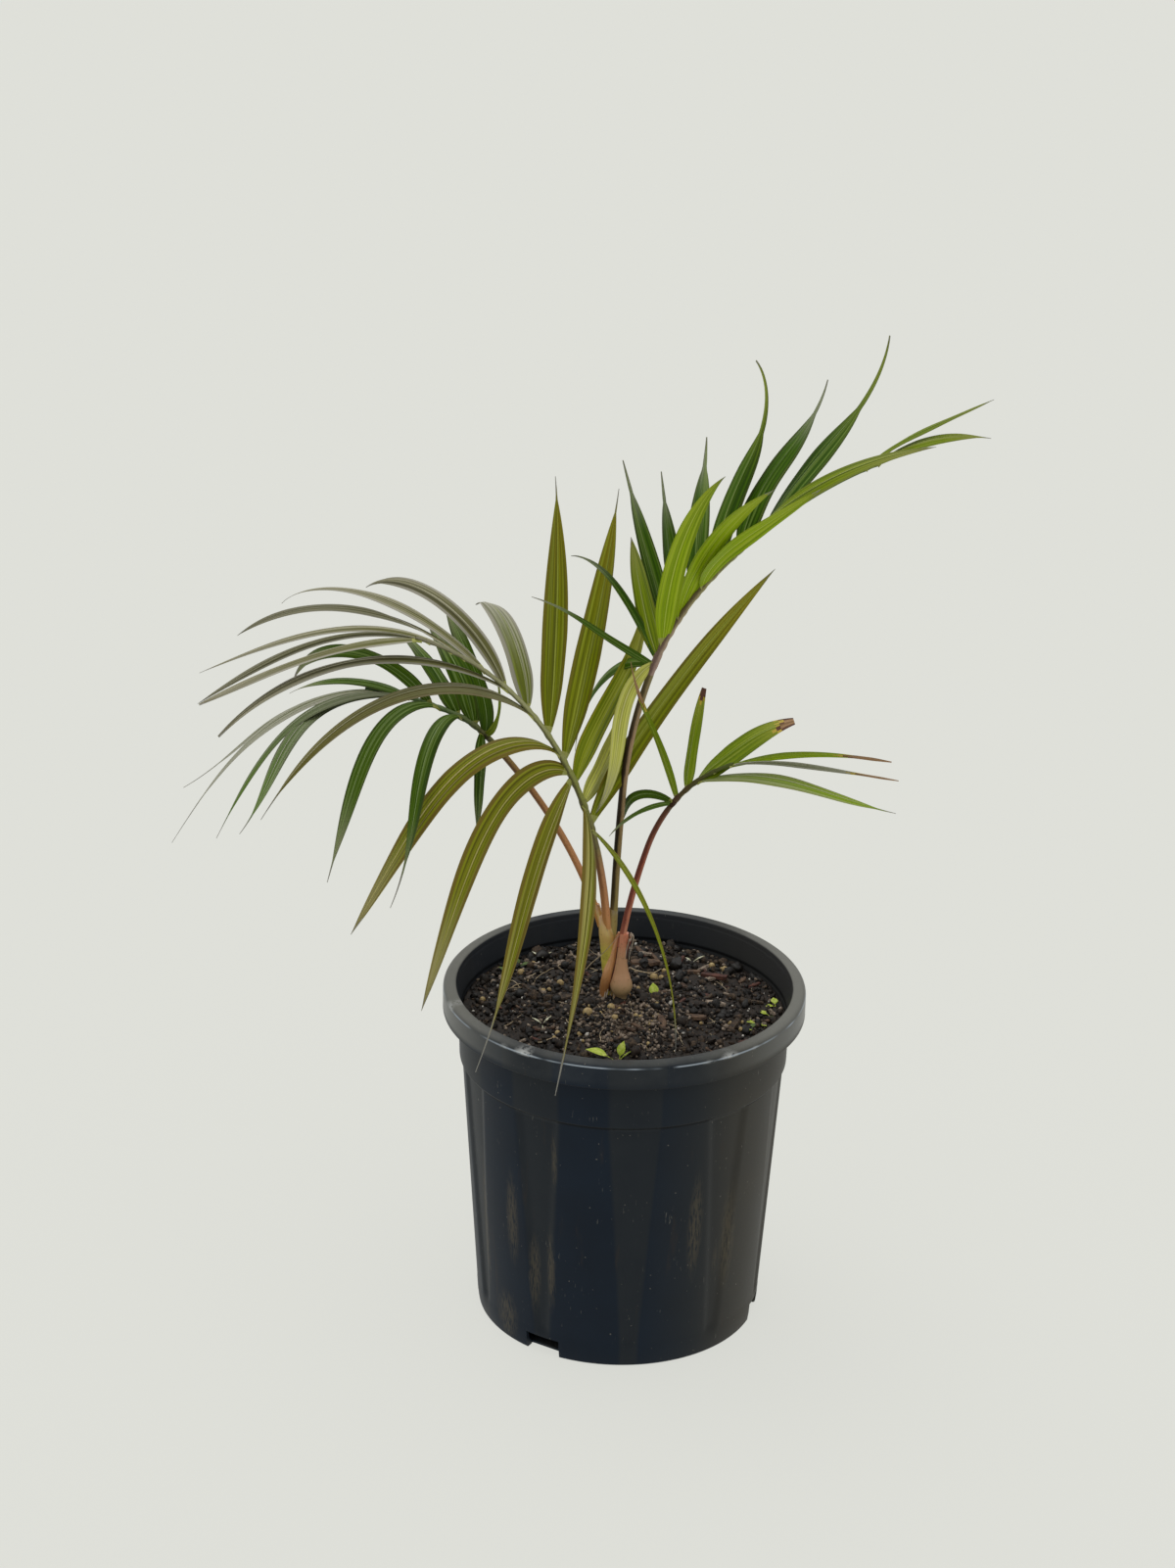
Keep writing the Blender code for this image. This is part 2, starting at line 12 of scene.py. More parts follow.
import bmesh
import bpy
import numpy as np
from bpy.props import FloatProperty, IntProperty, PointerProperty, StringProperty
from mathutils import Matrix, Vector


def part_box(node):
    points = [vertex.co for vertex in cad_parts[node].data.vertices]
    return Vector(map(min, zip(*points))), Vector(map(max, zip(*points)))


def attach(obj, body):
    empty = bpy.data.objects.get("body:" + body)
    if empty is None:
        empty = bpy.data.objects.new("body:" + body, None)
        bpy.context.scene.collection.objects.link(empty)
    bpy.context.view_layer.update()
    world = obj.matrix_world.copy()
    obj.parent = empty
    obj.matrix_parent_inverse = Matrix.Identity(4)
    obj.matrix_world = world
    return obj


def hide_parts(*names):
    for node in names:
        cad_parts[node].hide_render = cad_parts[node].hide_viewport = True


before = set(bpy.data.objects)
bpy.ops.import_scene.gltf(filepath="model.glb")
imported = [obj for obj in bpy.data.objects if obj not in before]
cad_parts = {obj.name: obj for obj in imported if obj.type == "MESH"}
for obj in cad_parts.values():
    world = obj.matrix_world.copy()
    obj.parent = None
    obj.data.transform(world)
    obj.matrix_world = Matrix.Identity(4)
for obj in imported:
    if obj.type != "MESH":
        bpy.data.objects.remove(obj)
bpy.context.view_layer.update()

bl_info = {
    "name": "Potted Feather Palm",
    "version": (1, 0, 0),
    "blender": (4, 5, 0),
    "location": "3D View > Sidebar > Palm",
    "description": "A young feather palm in a fluted nursery pot",
    "category": "Add Mesh",
}

MM = 0.001

# Pot: the rim's radius and the height come from the frame.
RIM_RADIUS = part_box("pot")[1].x / MM
POT_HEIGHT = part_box("pot")[1].z / MM
WALL = 1.6
RIM_BAND = 15
RIM_INNER_RADIUS = RIM_RADIUS - 7.4
LIP_ROUND = 3.2
COLLAR_TOP_RADIUS = RIM_RADIUS - 8.2
COLLAR_RADIUS = RIM_RADIUS - 9.3
COLLAR_DEPTH = 43
BODY_TOP_RADIUS = RIM_RADIUS - 10.8
BODY_FOOT_RADIUS = RIM_RADIUS - 20
BODY_FOOT_HEIGHT = 14
BASE_RADIUS = RIM_RADIUS - 22.5
BASE_PLATE = 2
FOOT_ROUND = 1.5
POT_SIDES = 360

FLUTES = 10
FLUTE_PITCH = 360 / FLUTES
FLUTE_FIRST = -85
FLUTE_RECESS = 1.4
FLUTE_HALF_TOP = 9.5
FLUTE_HALF_FOOT = 4
FLUTE_TOP = 151.5
FLUTE_FOOT = 16
FLUTE_SIDE = 3.2
NOTCHED_FLUTES = (-1, 2, 4, 7)
NOTCH_SIZE = (14, 21, 22)
NOTCH_ROUND = 3.5

# Potting mix: level at the wall and mounded to a seat under the stem.
MIX_WALL_HEIGHT = 179
MIX_SEAT_HEIGHT = 187.5
MIX_SEAT_RADIUS = 14
MIX_CENTRE = (-4, 4.5)
MIX_RADIUS = 89.0
MIX_SIDES = 260
MIX_RINGS = 90
MIX_DEPTH = 14
GRIT_CENTRE = (4, -24)
GRIT_SPREAD = (15, 17)

# Sides and steps of a limb, how far a rib reaches back into its stalk, and steps of a blade.
LIMB_SIDES = 20
LIMB_STEP = 2.5
RIB_LEAD = 5
BLADE_STEP = 2.6

Leg = namedtuple("Leg", "length heading rise")
Limb = namedtuple("Limb", "start heading rise stub stalk rib radii")
Leaflet = namedtuple("Leaflet", "at reach heading rise arch side hook curl width tone tip roll")

LIMBS = {
    "tall": Limb(
        start=(-7, 3, 228), heading=356, rise=89, stub=12,
        stalk=(Leg(83, 356, 86), Leg(73, 356, 71)),
        rib=(Leg(60, 356, 50), Leg(60, 355, 38), Leg(50, 352, 26)),
        radii=(2.2, 1.9, 0.9)),
    "right": Limb(
        start=(-3, -3, 218), heading=345, rise=82, stub=12,
        stalk=(Leg(65, 345, 73), Leg(30, 345, 56)),
        rib=(Leg(20, 340, 42), Leg(26, 330, 27)),
        radii=(1.9, 1.5, 1.0)),
    "middle": Limb(
        start=(-10, 1, 222), heading=215, rise=87, stub=14,
        stalk=(Leg(62, 215, 75),),
        rib=(Leg(73, 203, 58), Leg(30, 198, 48), Leg(35, 196, 35), Leg(32, 195, 21)),
        radii=(2.4, 2.0, 0.9)),
    "left": Limb(
        start=(-13, 6, 226), heading=172, rise=74, stub=14,
        stalk=(Leg(70, 172, 57), Leg(58, 172, 46)),
        rib=(Leg(20, 174, 23), Leg(28, 176, 14), Leg(24, 178, 5)),
        radii=(2.0, 1.7, 0.8)),
}

LEAFLETS = {
    "tall": (
        Leaflet(0.00, 78, 190, 32, -10, -10, 1.0, 40, 5, "dark", "thread", 35),
        Leaflet(0.03, 75, 140, 35, 50, 0, 0.5, -30, 6, "dark", "thread", 20),
        Leaflet(0.04, 65, 125, 65, 0, 10, 3.0, 0, 12, "leaf", "point", 0),
        Leaflet(0.13, 95, 125, 60, -50, -30, 1.0, 0, 12, "dark", "tail", 0),
        Leaflet(0.21, 80, 105, 50, -70, -10, 2.0, 0, 13, "dark", "tail", 0),
        Leaflet(0.28, 85, 85, 60, 30, 10, 1.5, 20, 12, "dark", "tail", 0),
        Leaflet(0.36, 115, 60, 70, -10, 30, 3.0, 80, 14, "vivid", "whip", 20),
        Leaflet(0.48, 100, 30, 60, 40, 10, 1.5, 40, 13, "dark", "tail", 25),
        Leaflet(0.58, 120, 25, 55, 10, 0, 3.0, 40, 13, "vivid", "whip", -10),
        Leaflet(0.95, 75, 5, 30, 30, -10, 4.0, 0, 6, "leaf", "point", -15),
        Leaflet(0.08, 120, 305, 65, 40, -20, 0.5, 0, 12, "bright", "point", 0),
        Leaflet(0.18, 105, 320, 55, 40, 0, 1.0, 0, 13, "bright", "point", 30),
        Leaflet(0.31, 95, 330, 45, 30, -30, 4.0, 0, 11, "bright", "point", 25),
        Leaflet(0.45, 130, 340, 35, 40, 0, 1.0, 0, 10, "leaf", "point", -35),
        Leaflet(0.99, 60, 0, 15, 50, -10, 1.0, 0, 9, "leaf", "thread", -20),
        Leaflet(0.02, 90, 195, -70, 60, -10, 4.0, 30, 9, "pale", "point", 0),
        Leaflet(0.01, 85, 140, -50, 90, -30, 1.0, 0, 6, "dark", "point", -25),
    ),
    "right": (
        Leaflet(0.00, 55, 135, -35, 110, 70, 2.0, 40, 5, "deep", "point", 0),
        Leaflet(0.00, 40, 205, -20, 50, -10, 1.0, 0, 4, "deep", "point", 5),
        Leaflet(0.10, 80, 165, 70, 10, -20, 1.0, 30, 5, "fresh", "yellow", 20),
        Leaflet(0.28, 55, 65, 70, 0, 10, 0.5, 0, 8, "fresh", "blunt", 10),
        Leaflet(0.43, 62, 8, 33, 10, 0, 1.0, -20, 14, "fresh", "cut", -35),
        Leaflet(0.70, 95, 0, 5, 30, 10, 1.5, 0, 6, "bright", "dry", 30),
        Leaflet(0.95, 90, 350, 0, 20, 10, 4.0, 0, 6, "ashen", "dry", 20),
        Leaflet(0.47, 110, 340, 0, 55, 0, 1.0, 30, 10, "sheened", "thread", -20),
    ),
    "middle": (
        Leaflet(0.07, 174, 40, 43, 30, -10, 3.0, -10, 14, "olive", "point", 0),
        Leaflet(0.15, 65, 55, 55, -50, 0, 0.5, -10, 12, "pale", "point", 10),
        Leaflet(0.23, 105, 55, 55, 10, 10, 4.0, 30, 14, "moss", "point", 10),
        Leaflet(0.32, 150, 70, 60, -20, 0, 0.5, 0, 16, "olive", "thread", 20),
        Leaflet(0.43, 140, 90, 60, 0, -10, 0.5, 0, 15, "olive", "thread", 20),
        Leaflet(0.55, 80, 115, 25, 100, 0, 1.0, -10, 14, "silver", "curl", 5),
        Leaflet(0.66, 100, 145, 20, 110, 30, 1.0, 0, 8, "bronze", "curl", 0),
        Leaflet(0.74, 120, 160, 10, 100, 0, 0.5, 0, 10, "bronze", "thread", 5),
        Leaflet(0.82, 140, 155, -5, 70, 0, 1.0, 0, 9, "bronze", "point", -25),
        Leaflet(0.87, 140, 170, -10, 50, -20, 2.0, 0, 9, "bronze", "point", 25),
        Leaflet(0.95, 135, 170, -20, 50, -10, 2.0, 0, 10, "bronze", "point", -15),
        Leaflet(0.98, 120, 190, -15, 30, 0, 2.0, 0, 10, "bronze", "snub", 5),
        Leaflet(0.05, 130, 305, -50, 70, 10, 1.0, 0, 5, "moss", "spear", 20),
        Leaflet(0.14, 165, 265, -43, 50, 25, 2.0, 0, 12, "russet", "spear", -40),
        Leaflet(0.25, 165, 240, -55, 50, 10, 3.0, 30, 12, "russet", "hair", -20),
        Leaflet(0.27, 150, 225, -45, 105, -10, 4.0, 0, 14, "russet", "point", -5),
        Leaflet(0.34, 150, 190, -41, 115, 10, 4.0, 0, 14, "russet", "point", 45),
        Leaflet(0.51, 155, 200, -15, 100, -10, 1.5, 0, 11, "umber", "thread", 10),
        Leaflet(0.64, 155, 195, -5, 80, -10, 1.0, 0, 9, "bronze", "snub", 5),
    ),
    "left": (
        Leaflet(0.00, 35, 25, 80, -20, -100, 1.5, 0, 4, "leaf", "point", 55),
        Leaflet(0.02, 80, 125, 55, 70, 0, 4.0, 0, 11, "deep", "curl", 20),
        Leaflet(0.13, 62, 128, 45, 60, 0, 1.5, 0, 14, "deep", "point", 10),
        Leaflet(0.27, 60, 135, 35, 50, 0, 0.5, 0, 10, "deep", "point", -25),
        Leaflet(0.49, 85, 155, 0, 120, 30, 1.0, 0, 9, "deep", "curl", 25),
        Leaflet(0.65, 70, 165, -5, 60, 10, 1.0, 0, 9, "deep", "thread", 10),
        Leaflet(0.05, 70, 270, -35, 30, 0, 1.0, 0, 8, "deep", "thread", 0),
        Leaflet(0.24, 120, 250, -37, 100, -20, 4.0, 30, 9, "deep", "hair", 0),
        Leaflet(0.41, 115, 230, -40, 90, -50, 4.0, 0, 11, "deep", "thread", 15),
        Leaflet(0.56, 135, 226, -17, 40, -120, 2.0, 30, 11, "greening", "thread", 5),
        Leaflet(0.68, 128, 198, -34, 120, -10, 1.0, 40, 9, "greening", "thread", 5),
        Leaflet(0.76, 150, 185, -35, 70, -10, 2.0, 0, 9, "ashen", "hair", 10),
        Leaflet(0.94, 133, 165, -33, 70, 50, 1.0, 50, 8, "ashen", "hair", 15),
    ),
}

# A tip: where the blade's taper ends, how late it sets in, how wide the tail after it
# starts, in millimetres, and where the dry tissue starts.
Tip = namedtuple("Tip", "end late width dry")
TIPS = {
    "point": Tip(1.0, 2.7, 0.6, 0.97),
    "thread": Tip(0.93, 2.7, 1.1, 0.94),
    "curl": Tip(0.93, 5.0, 2.6, 0.95),
    "hair": Tip(0.82, 2.5, 1.1, 0.84),
    "tail": Tip(0.84, 3.2, 2.2, 0.975),
    "whip": Tip(0.7, 3.0, 3.2, 0.985),
    "spear": Tip(0.87, 1.25, 1.1, 0.88),
    "yellow": Tip(0.95, 2.7, 1.0, 0.72),
    "dry": Tip(0.9, 2.8, 2.6, 0.75),
    "blunt": Tip(1.16, 3.0, 1.0, 0.9),
    "snub": Tip(1.06, 4.0, 0.9, 0.985),
    "cut": Tip(1.14, 2.4, 1.0, 0.87),
}

# A tone: the colours of a blade beside its midrib, at its margins, on its midrib, on its
# veins and towards its tip, then where the margin's colour starts across the blade and
# where the tip's starts along it.
Tone = namedtuple("Tone", "blade edge midrib vein tip margin turn")
# Painted sheen in the tones: the grey and pale margins, midribs and tips of the bronze, silver and
# ashen tones, the grey tip of the dark tone, and the grey foot of the greening and sheened tones
# paint the sky's sheen on faces that turn up.
TONES = {
    # bright: a brighter green that also paints the glow of light shining through the near leaflets.
    "bright": Tone("#98B210", "#7E920E", "#B0C03C", "#6E8A06", "#98A828", 0.86, 0.5),
    "fresh": Tone("#7A8E12", "#667614", "#9AA640", "#4E6A08", "#949A36", 0.86, 0.5),
    "leaf": Tone("#7E9014", "#6C7422", "#A0A858", "#4E640A", "#8E9048", 0.86, 0.5),
    "dark": Tone("#446608", "#44501A", "#80944A", "#284406", "#A8AA90", 0.86, 0.56),
    "vivid": Tone("#446608", "#44501A", "#80944A", "#284406", "#98A23A", 0.86, 0.42),
    "deep": Tone("#4A6608", "#444E1E", "#88A058", "#264404", "#8E8E70", 0.86, 0.55),
    "ashen": Tone("#86886A", "#A6A594", "#B4B4A2", "#5C6240", "#B4B2A4", 0.6, 0.3),
    "greening": Tone("#7E806A", "#5E6446", "#9CA084", "#5A6440", "#567A14", 0.8, 0.05),
    "sheened": Tone("#8C8E6C", "#84884C", "#A8AC80", "#5E7626", "#86A016", 0.86, -0.5),
    "moss": Tone("#949E14", "#807A20", "#AEB244", "#5A6C0A", "#96903A", 0.84, 0.5),
    "olive": Tone("#7E8608", "#70661A", "#A0A838", "#4C500A", "#90841C", 0.78, 0.4),
    "russet": Tone("#868A1A", "#766428", "#C0B470", "#545010", "#A49C68", 0.66, 0.55),
    "bronze": Tone("#76763E", "#AAA698", "#BAB69C", "#444226", "#86826A", 0.72, 0.12),
    "umber": Tone("#96966C", "#7C7252", "#B6B294", "#54502C", "#6A641E", 0.8, 0.05),
    "silver": Tone("#747E24", "#9C988A", "#B0AE98", "#50561C", "#BCB9AC", 0.76, 0.15),
    "pale": Tone("#D2D468", "#B4B458", "#D4D28A", "#94943C", "#AEAC88", 0.86, 0.6),
}


def linear(hex_colour):
    """An sRGB hex colour as linear red, green, blue and one."""
    parts = [int(hex_colour[place:place + 2], 16) / 255 for place in (1, 3, 5)]
    return [part / 12.92 if part <= 0.04045 else ((part + 0.055) / 1.055) ** 2.4
            for part in parts] + [1.0]


def add_node(tree, kind, inputs=None, stops=None, **settings):
    """Add a shader node, set its properties, fill or link its inputs, and place ramp stops."""
    node = tree.nodes.new("ShaderNode" + kind)
    for name, value in settings.items():
        setattr(node, name, value)
    for name, value in (inputs or {}).items():
        if isinstance(value, bpy.types.NodeSocket):
            tree.links.new(value, node.inputs[name])
        else:
            node.inputs[name].default_value = value
    if stops:
        ramp = node.color_ramp
        while len(ramp.elements) < len(stops):
            ramp.elements.new(0.5)
        for element, (place, colour) in zip(ramp.elements, stops):
            element.position = place
            element.color = linear(colour)
    return node


def start_material(name, **constants):
    """A Principled material with constants on its own sockets: its tree and its shader."""
    material = bpy.data.materials.new(name)
    material.use_nodes = True
    tree = material.node_tree
    shader = tree.nodes["Principled BSDF"]
    for socket, value in constants.items():
        shader.inputs[socket.replace("_", " ")].default_value = value
    return tree, shader


def stored_place(tree):
    """The place that each point of a body stores for its material."""
    return add_node(tree, "Attribute", attribute_name="place").outputs["Vector"]


def solid_place(tree):
    """Where the surface lies in its piece, in metres."""
    return add_node(tree, "TexCoord").outputs["Object"]


def parts_of(tree, vector):
    """A vector's parts, as outputs named X, Y and Z."""
    return add_node(tree, "SeparateXYZ", {"Vector": vector}).outputs


def stretched(tree, vector, factors):
    """A vector with each of its parts multiplied by a factor."""
    return add_node(tree, "VectorMath", {0: vector, 1: factors},
                    operation="MULTIPLY").outputs["Vector"]


def map_range(tree, value, low, high, start, end, way="LINEAR"):
    """A value's way from start, where it is low, to end, where it is high."""
    found = add_node(tree, "MapRange", {
        "Value": value, "From Min": low, "From Max": high, "To Min": start, "To Max": end},
        interpolation_type=way)
    return found.outputs["Result"]


def smooth_step(tree, value, low, high, start=0.0, end=1.0):
    """A value's smooth way from start, where it is low, to end, where it is high."""
    return map_range(tree, value, low, high, start, end, "SMOOTHSTEP")


def spread(tree, value, low, high):
    """A value of 0 to 1 spread between two numbers."""
    return map_range(tree, value, 0.0, 1.0, low, high)


def noise(tree, at, size, detail=3.0, roughness=0.55):
    """Noise whose lumps are a size across, in the units of the vector."""
    found = add_node(tree, "TexNoise", {
        "Vector": at, "Scale": 1 / size, "Detail": detail, "Roughness": roughness})
    return found.outputs["Fac"]


def combine(tree, operation, first, second=0.0):
    """One arithmetic step on sockets or numbers."""
    return add_node(tree, "Math", {0: first, 1: second}, operation=operation).outputs[0]


def times(tree, first, second):
    """One value times another."""
    return combine(tree, "MULTIPLY", first, second)


def plus(tree, first, second):
    """One value added to another."""
    return combine(tree, "ADD", first, second)


def mix_colours(tree, factor, first, second):
    """A mix of two colours, each a hex colour or a socket."""
    node = add_node(tree, "Mix", data_type="RGBA")
    for place, value in ((0, factor), (6, first), (7, second)):
        if isinstance(value, bpy.types.NodeSocket):
            tree.links.new(value, node.inputs[place])
        else:
            node.inputs[place].default_value = linear(value) if isinstance(value, str) else value
    return node.outputs[2]


def lay_over(tree, colour, *layers):
    """A colour with others laid over it in turn, each by its own factor."""
    for factor, above in layers:
        colour = mix_colours(tree, factor, colour, above)
    return colour


def finish_with(tree, shader, colour, roughness, height, depth):
    """Link a colour, a roughness and a relief of a depth in millimetres to the shader."""
    bump = add_node(tree, "Bump", {"Height": height, "Distance": depth * MM, "Strength": 0.6})
    tree.links.new(colour, shader.inputs["Base Color"])
    tree.links.new(roughness, shader.inputs["Roughness"])
    tree.links.new(bump.outputs["Normal"], shader.inputs["Normal"])


def leaf_material(name, tone):
    """Living palm leaf, grown: a thin waxy skin over parallel veins, so it shines softly and
    shows fine dark and light lines along its length. The veins are drawn 2 mm apart, three
    times the real spacing, to show in the render. Place holds across, along and one number
    per leaf. In some tones the margin, midrib and tip colours are a painted sheen, and in the
    bright tone the green also paints light shining through the leaf."""
    tree, shader = start_material(name, IOR=1.45, Specular_IOR_Level=0.14)
    place = stored_place(tree)
    axes = parts_of(tree, place)
    across = combine(tree, "ABSOLUTE", axes["X"])
    along_blade = axes["Y"]
    long_way = stretched(tree, place, (1.0, 0.16, 9.0))
    dark_line = noise(tree, long_way, 0.3, 2.0, 0.6)
    light_line = noise(tree, long_way, 0.2, 1.0, 0.5)
    solid_at = solid_place(tree)
    patch = noise(tree, solid_at, 9 * MM, 3.0)
    speck = noise(tree, solid_at, 1.2 * MM, 2.0)

    # The blade turns to its tip's colour, a painted sheen in some tones, sooner in some lines
    # than in others.
    turning = plus(tree, along_blade, spread(tree, dark_line, -0.2, 0.2))
    blade = mix_colours(tree, smooth_step(tree, turning, tone.turn, 0.9), tone.blade, tone.tip)

    # Three veins on each side fade towards the tip, where the blade narrows.
    wave = combine(tree, "SINE", times(tree, across, 6 * math.pi))
    vein = times(tree, smooth_step(tree, wave, -0.1, 0.9), spread(tree, patch, 0.2, 0.9))
    vein = times(tree, vein, smooth_step(tree, along_blade, 0.45, 0.85, 1.0, 0.25))

    # The margin's colour, a painted sheen in some tones, has a ragged inner edge and fades
    # towards the tip.
    lean = plus(tree, across, spread(tree, dark_line, -0.16, 0.16))
    margin = smooth_step(tree, lean, tone.margin - 0.1, tone.margin + 0.08)
    margin = times(tree, margin, smooth_step(tree, along_blade, 0.6, 0.9, 0.85, 0.2))

    blade = lay_over(
        tree, blade,
        (vein, tone.vein),
        (smooth_step(tree, dark_line, 0.46, 0.64, end=0.8), tone.vein),
        (smooth_step(tree, light_line, 0.5, 0.68, end=0.62), tone.midrib),
        (margin, tone.edge),
        (smooth_step(tree, speck, 0.74, 0.8, end=0.35), tone.midrib),
        (smooth_step(tree, along_blade, 0.88, 1.0, end=0.4), "#5E5438"))
    relief = plus(tree, times(tree, wave, 0.4), dark_line)
    finish_with(tree, shader, blade, spread(tree, patch, 0.38, 0.54), relief, 0.15)


def streaked_material(name, main, second, roughness):
    """Plant tissue, grown: fibres run along it, so a second colour shows in streaks."""
    tree, shader = start_material(name, IOR=1.45)
    long_way = stretched(tree, stored_place(tree), (1.0, 14 / 60, 9.0))
    streak = noise(tree, long_way, 0.12, 4.0, 0.6)
    colour = mix_colours(tree, smooth_step(tree, streak, 0.38, 0.66), main, second)
    rough = spread(tree, streak, roughness - 0.08, roughness + 0.08)
    finish_with(tree, shader, colour, rough, streak, 0.15)


def limb_material(name, shade, light):
    """A palm's stalk, grown: a smooth waxy skin with dark scurf flecks. Each side has its own
    run of colours from the foot to the tip: painted light on the skin that faces LIGHT_SIDE and
    painted shade on the skin that faces away."""
    tree, shader = start_material(name, IOR=1.45, Specular_IOR_Level=0.16)
    axes = parts_of(tree, stored_place(tree))
    solid_at = solid_place(tree)
    streak = noise(tree, stretched(tree, solid_at, (1.0, 1.0, 0.12)), 1.3 * MM, 4.0, 0.6)
    scurf = noise(tree, solid_at, 0.9 * MM, 2.0)
    painted_shade_and_light_runs = [add_node(tree, "ValToRGB", {"Fac": axes["Y"]}, stops=stops).outputs["Color"]
            for stops in (shade, light)]
    side = plus(tree, axes["X"], spread(tree, streak, -0.35, 0.35))
    colour = mix_colours(tree, smooth_step(tree, side, 0.1, 0.75), *painted_shade_and_light_runs)
    flecks = smooth_step(tree, scurf, 0.62, 0.72, end=0.5)
    colour = mix_colours(tree, flecks, colour, "#3A2A20")
    finish_with(tree, shader, colour, spread(tree, streak, 0.34, 0.52), scurf, 0.1)


def sheath_material(name, foot, body, top):
    """A palm's leaf base, grown: smooth and waxy, with long fibres just under the skin and
    brown scurf at the foot. Place holds turn, height and one number per sheath."""
    tree, shader = start_material(name, IOR=1.45, Coat_Weight=0.7, Coat_Roughness=0.14)
    place = stored_place(tree)
    fibre = noise(tree, stretched(tree, place, (6.0, 1.2, 7.0)), 0.35, 4.0, 0.62)
    scurf = noise(tree, solid_place(tree), 2.2 * MM, 4.0, 0.65)
    height = plus(tree, parts_of(tree, place)["Y"], spread(tree, fibre, -0.12, 0.12))
    colour = add_node(tree, "ValToRGB", {"Fac": height}, stops=(
        (0.25, foot), (0.5, body), (0.7, body), (0.95, top))).outputs["Color"]
    colour = lay_over(
        tree, colour,
        (smooth_step(tree, fibre, 0.5, 0.72, end=0.35), foot),
        (smooth_step(tree, scurf, 0.58, 0.7, end=0.45), "#5A3A22"))
    finish_with(tree, shader, colour, spread(tree, scurf, 0.3, 0.5), fibre, 0.2)


# Marks on the pot that the front view shows: x, y, z, how far each reaches sideways and how
# far up and down.
LIP_SCUFFS = (
    (-51, -82, 194, 9, 4), (-61, -74, 194, 6, 3), (44, -85, 193.5, 7, 3),
    (55, -79, 193.5, 9, 4), (68, -68, 193.5, 6, 3), (-90, -30, 194, 9, 4))
BROWN_RUNS = (
    (-58.5, -61, 81, 6, 40), (-45.7, -68.5, 49, 5, 34), (-36.5, -74, 56, 4, 36),
    (-36, -79.5, 125, 3, 24), (41.7, -74, 85, 6, 46), (54, -63, 56, 3, 16),
    (-74, -38, 61, 6, 60), (-61, -52, 15, 11, 20), (60, -58, 70, 7, 44))


def nearness(tree, at, mark):
    """How near the skin lies to a mark: 1 at its middle and 0 past its reach."""
    *place, reach, height = (size * MM for size in mark)
    away = add_node(tree, "VectorMath", {0: at, 1: place}, operation="SUBTRACT")
    scaled = stretched(tree, away.outputs["Vector"], (1 / reach, 1 / reach, 1 / height))
    length = add_node(tree, "VectorMath", {0: scaled}, operation="LENGTH")
    return smooth_step(tree, length.outputs["Value"], 0.2, 1.0, 1.0, 0.0)


def nearest(tree, at, marks):
    """How near the skin lies to the nearest of several marks."""
    found = nearness(tree, at, marks[0])
    for mark in marks[1:]:
        found = combine(tree, "MAXIMUM", found, nearness(tree, at, mark))
    return found


def line_round(tree, height, middle, reach, strength=1.0):
    """A thin line round the pot: its strength at a height in millimetres, and 0 past its
    reach."""
    off = combine(tree, "ABSOLUTE", combine(tree, "SUBTRACT", height, middle * MM))
    return smooth_step(tree, off, 0.2 * reach * MM, reach * MM, strength, 0.0)


